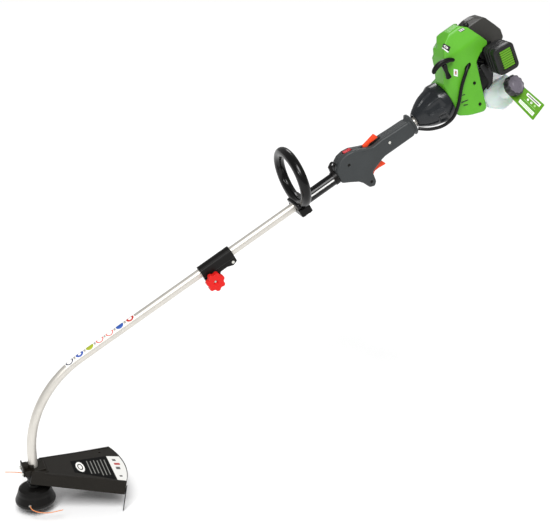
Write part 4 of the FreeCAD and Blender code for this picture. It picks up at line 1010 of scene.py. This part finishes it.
class TRIMMER_OT_fuel(bpy.types.Operator):
    """Translucent tank, lobed cap and the card on its filler neck"""
    bl_idname = "trimmer.fuel"
    bl_label = "Fuel tank"

    def execute(self, context):
        sizes = context.scene.trimmer_sizes
        softened("fuel_tank", "tank_moulding", 1.5, 4, translucent_tank())
        # Talc-filled polypropylene: violet grey face, chalky, its skirt much darker.
        dark_skirt = [(0.0, 1.0, 0.0, 0.40, linear("#262428"))]
        cap = printed("Violet grey polypropylene", linear("#6B6670"), dark_skirt, 0.42)
        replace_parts(piece("fuel_cap_moulding", [cap_shell(sizes.lobes)], cap, "cap"), "fuel_cap")
        # Coated card: grass green, smooth, satin.
        card = moulded("Green coated card", linear("#5C9A1A"), 0.5, 2.0, 0.01, 0.05, Specular_IOR_Level=0.2)
        dress(card, "hang_tag")
        down = np.array((0.10, 0.0, -1.0))
        down = unit(down - CAP_WAY * np.dot(down, CAP_WAY))
        side = np.cross(CAP_WAY, down)
        side = side if side[0] > 0 else -side
        centre = CAP_FACE - CAP_WAY * TAG_DEPTH
        white, pale, deep = linear("#F2F5EE"), linear("#A9D48A"), linear("#3E8A22")
        marks = [(0.74, 0.93, 0.18, 0.94, white), (0.80, 0.87, 0.26, 0.86, linear("#6E6E68")),
                 (0.07, 0.29, 0.06, 0.94, white), (0.13, 0.16, 0.12, 0.88, pale), (0.20, 0.23, 0.12, 0.88, pale),
                 (0.36, 0.39, 0.12, 0.9, deep), (0.44, 0.46, 0.2, 0.86, pale),
                 (0.60, 0.36, 0.07, 0.05, 0.0, white), (0.60, 0.56, 0.07, 0.05, 0.4, white),
                 (0.60, 0.76, 0.07, 0.05, 0.0, pale)]
        for name, lift in (("front", 0.05), ("back", -0.97)):
            corners = [centre + CAP_WAY * lift + side * a + down * b for a, b in TAG_PRINT]
            # Offset print on coated card: plain bars and fields.
            print_film = printed("Card print " + name, linear("#5E9C1C"), marks, 0.5)
            out = CAP_WAY if lift > 0 else -CAP_WAY
            piece("tag_print_" + name, [label_on(corners, 0.08, out)], print_film, "boom")
        return {"FINISHED"}


# ---- cutting head ----
EYELET = ((48.6, 1.6), (48.6, 3.2), (51.4, 3.4), (52.6, 3.1), (53.0, 2.4), (52.6, 1.6))
EYELET_AT = (0, 0, -88)


class TRIMMER_OT_head(bpy.types.Operator):
    """Line head, its housings, spool, bump knob and the two line eyelets"""
    bl_idname = "trimmer.head"
    bl_label = "Line head"

    def execute(self, context):
        shelf = finish_shelf()
        dress(shelf["head_nylon"], "head_bearing_housing", "head_upper_housing", "head_lower_cover", "spool",
              "bump_knob")
        dress(shelf["spring"], "bump_spring")
        for name, angle in (("near", -115), ("far", 65)):
            way = (math.cos(math.radians(angle)), math.sin(math.radians(angle)), 0)
            ring = moved(grid(turned(EYELET, EYELET_AT, way, 32), wrap_rows=True), head)
            piece("line_eyelet_" + name, [ring], shelf["zinc"], "line_head")
        return {"FINISHED"}


GUARD_SLOPE = math.radians(10)
GUARD_ARC_R = 250.0
GUARD_HALF = 100.0
GUARD_ARC_FOOT = 224.0 - math.sqrt(GUARD_ARC_R ** 2 - GUARD_HALF ** 2)
LABEL_Z = 0.05
LABEL_CORNERS = ((101, 20, LABEL_Z), (203, 44, LABEL_Z), (201, -84, LABEL_Z), (101, -40, LABEL_Z))
STRIP_X, STRIP_Y, STRIP_LONG, STRIP_MARGIN = 204, 44, 134, 3
BEAD_LINE = ((20, 41), (90, 59), (160, 77), (226, 94))


def guard_place(x, y, z):
    """Guard millimetres, before it slopes down, to row metres."""
    x, z = np.asarray(x, float), np.asarray(z, float)
    c, s = math.cos(GUARD_SLOPE), math.sin(GUARD_SLOPE)
    return head(x * c + z * s, y, -x * s + z * c)


class TRIMMER_OT_guard(bpy.types.Operator):
    """Debris guard with its plain label, edge beads, clamp and line cutter"""
    bl_idname = "trimmer.guard"
    bl_label = "Guard"

    def execute(self, context):
        shelf = finish_shelf()
        film = context.scene.trimmer_sizes.film
        dress(shelf["guard_pp"], "guard_shield", "guard_clamp")
        # Blued spring steel: black-blue, thinly oiled.
        dress(metal("Blued spring steel", linear("#26262A"), 0.34, 0.6, 0.01), "line_cutter_blade")
        black, white, grey = linear("#010101"), linear("#F1F0EC"), linear("#8E8E8A")
        bars = [(0.42 + 0.095 * k, 0.442 + 0.095 * k, 0.12 + 0.03 * (k % 2), 0.9 - 0.04 * (k % 3), grey)
                for k in range(6)]
        # Printed polyester label: black field, plain pale bars and an oval, satin.
        ovals = [(0.2, 0.5, 0.11, 0.36, 0.62, white), (0.2, 0.5, 0.045, 0.16, 0.0, white)]
        field = printed("Black guard label", black, ovals + bars, 0.5, Specular_IOR_Level=0.08)
        piece("guard_label", [label_on(LABEL_CORNERS, film, UP, guard_place)], field, "lower_boom")
        red, ash = linear("#B53A34"), linear("#5A5A58")
        # Printed polyester strip: white with small plain blocks.
        strip = printed("White guard strip", white, [(0.3, 0.55, 0.12, 0.2, ash), (0.3, 0.7, 0.28, 0.36, red),
                                                     (0.3, 0.6, 0.44, 0.54, ash), (0.35, 0.6, 0.78, 0.84, ash)], 0.3)
        v, u = shares(25, 9)
        y = STRIP_Y - v * STRIP_LONG
        edge = GUARD_ARC_FOOT + np.sqrt(GUARD_ARC_R ** 2 - y ** 2) - STRIP_MARGIN
        sheet = stacked(STRIP_X + u * (edge - STRIP_X), y - u * 4, LABEL_Z)
        way = 1.0 if normals_of(sheet)[..., 2].mean() > 0 else -1.0
        piece("guard_strip", [moved(slab(sheet, film, way), guard_place)], strip, "lower_boom")
        beads = []
        for sign in (-1, 1):
            path, round_end = smooth_path([(x, sign * y, 0) for x, y in BEAD_LINE], 60), domed(60, 0.02)
            beads.append(moved(grid(swept(path, 1.6 * round_end, round_end, UP, 14)), guard_place))
        piece("guard_edge_beads", beads, shelf["guard_pp"], "lower_boom")
        return {"FINISHED"}


# ---- panel ----
OPERATORS = (TRIMMER_OT_stage, TRIMMER_OT_line, TRIMMER_OT_boom, TRIMMER_OT_coupler, TRIMMER_OT_loop,
             TRIMMER_OT_handle, TRIMMER_OT_clutch, TRIMMER_OT_shroud, TRIMMER_OT_starter, TRIMMER_OT_hot_side,
             TRIMMER_OT_intake, TRIMMER_OT_fuel, TRIMMER_OT_head, TRIMMER_OT_guard)


class TRIMMER_PT_panel(bpy.types.Panel):
    """Lists the colours, the sizes and every piece's button"""
    bl_idname = "TRIMMER_PT_panel"
    bl_label = "Line trimmer"
    bl_space_type = "VIEW_3D"
    bl_region_type = "UI"
    bl_category = "Trimmer"

    def draw(self, context):
        for group in (context.scene.trimmer_colours, context.scene.trimmer_sizes):
            box = self.layout.box()
            for key in group.bl_rna.properties.keys():
                if key not in ("rna_type", "name"):
                    box.prop(group, key)
        for operator in OPERATORS:
            self.layout.operator(operator.bl_idname)


CLASSES = (TrimmerColours, TrimmerSizes) + OPERATORS + (TRIMMER_PT_panel,)


def register():
    for cls in CLASSES:
        bpy.utils.register_class(cls)
    bpy.types.Scene.trimmer_colours = bpy.props.PointerProperty(type=TrimmerColours)
    bpy.types.Scene.trimmer_sizes = bpy.props.PointerProperty(type=TrimmerSizes)


def unregister():
    del bpy.types.Scene.trimmer_sizes
    del bpy.types.Scene.trimmer_colours
    for cls in reversed(CLASSES):
        bpy.utils.unregister_class(cls)


def main():
    """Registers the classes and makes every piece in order."""
    register()
    for operator in OPERATORS:
        group, name = operator.bl_idname.split(".")
        getattr(getattr(bpy.ops, group), name)()


if __name__ == "__main__":
    main()
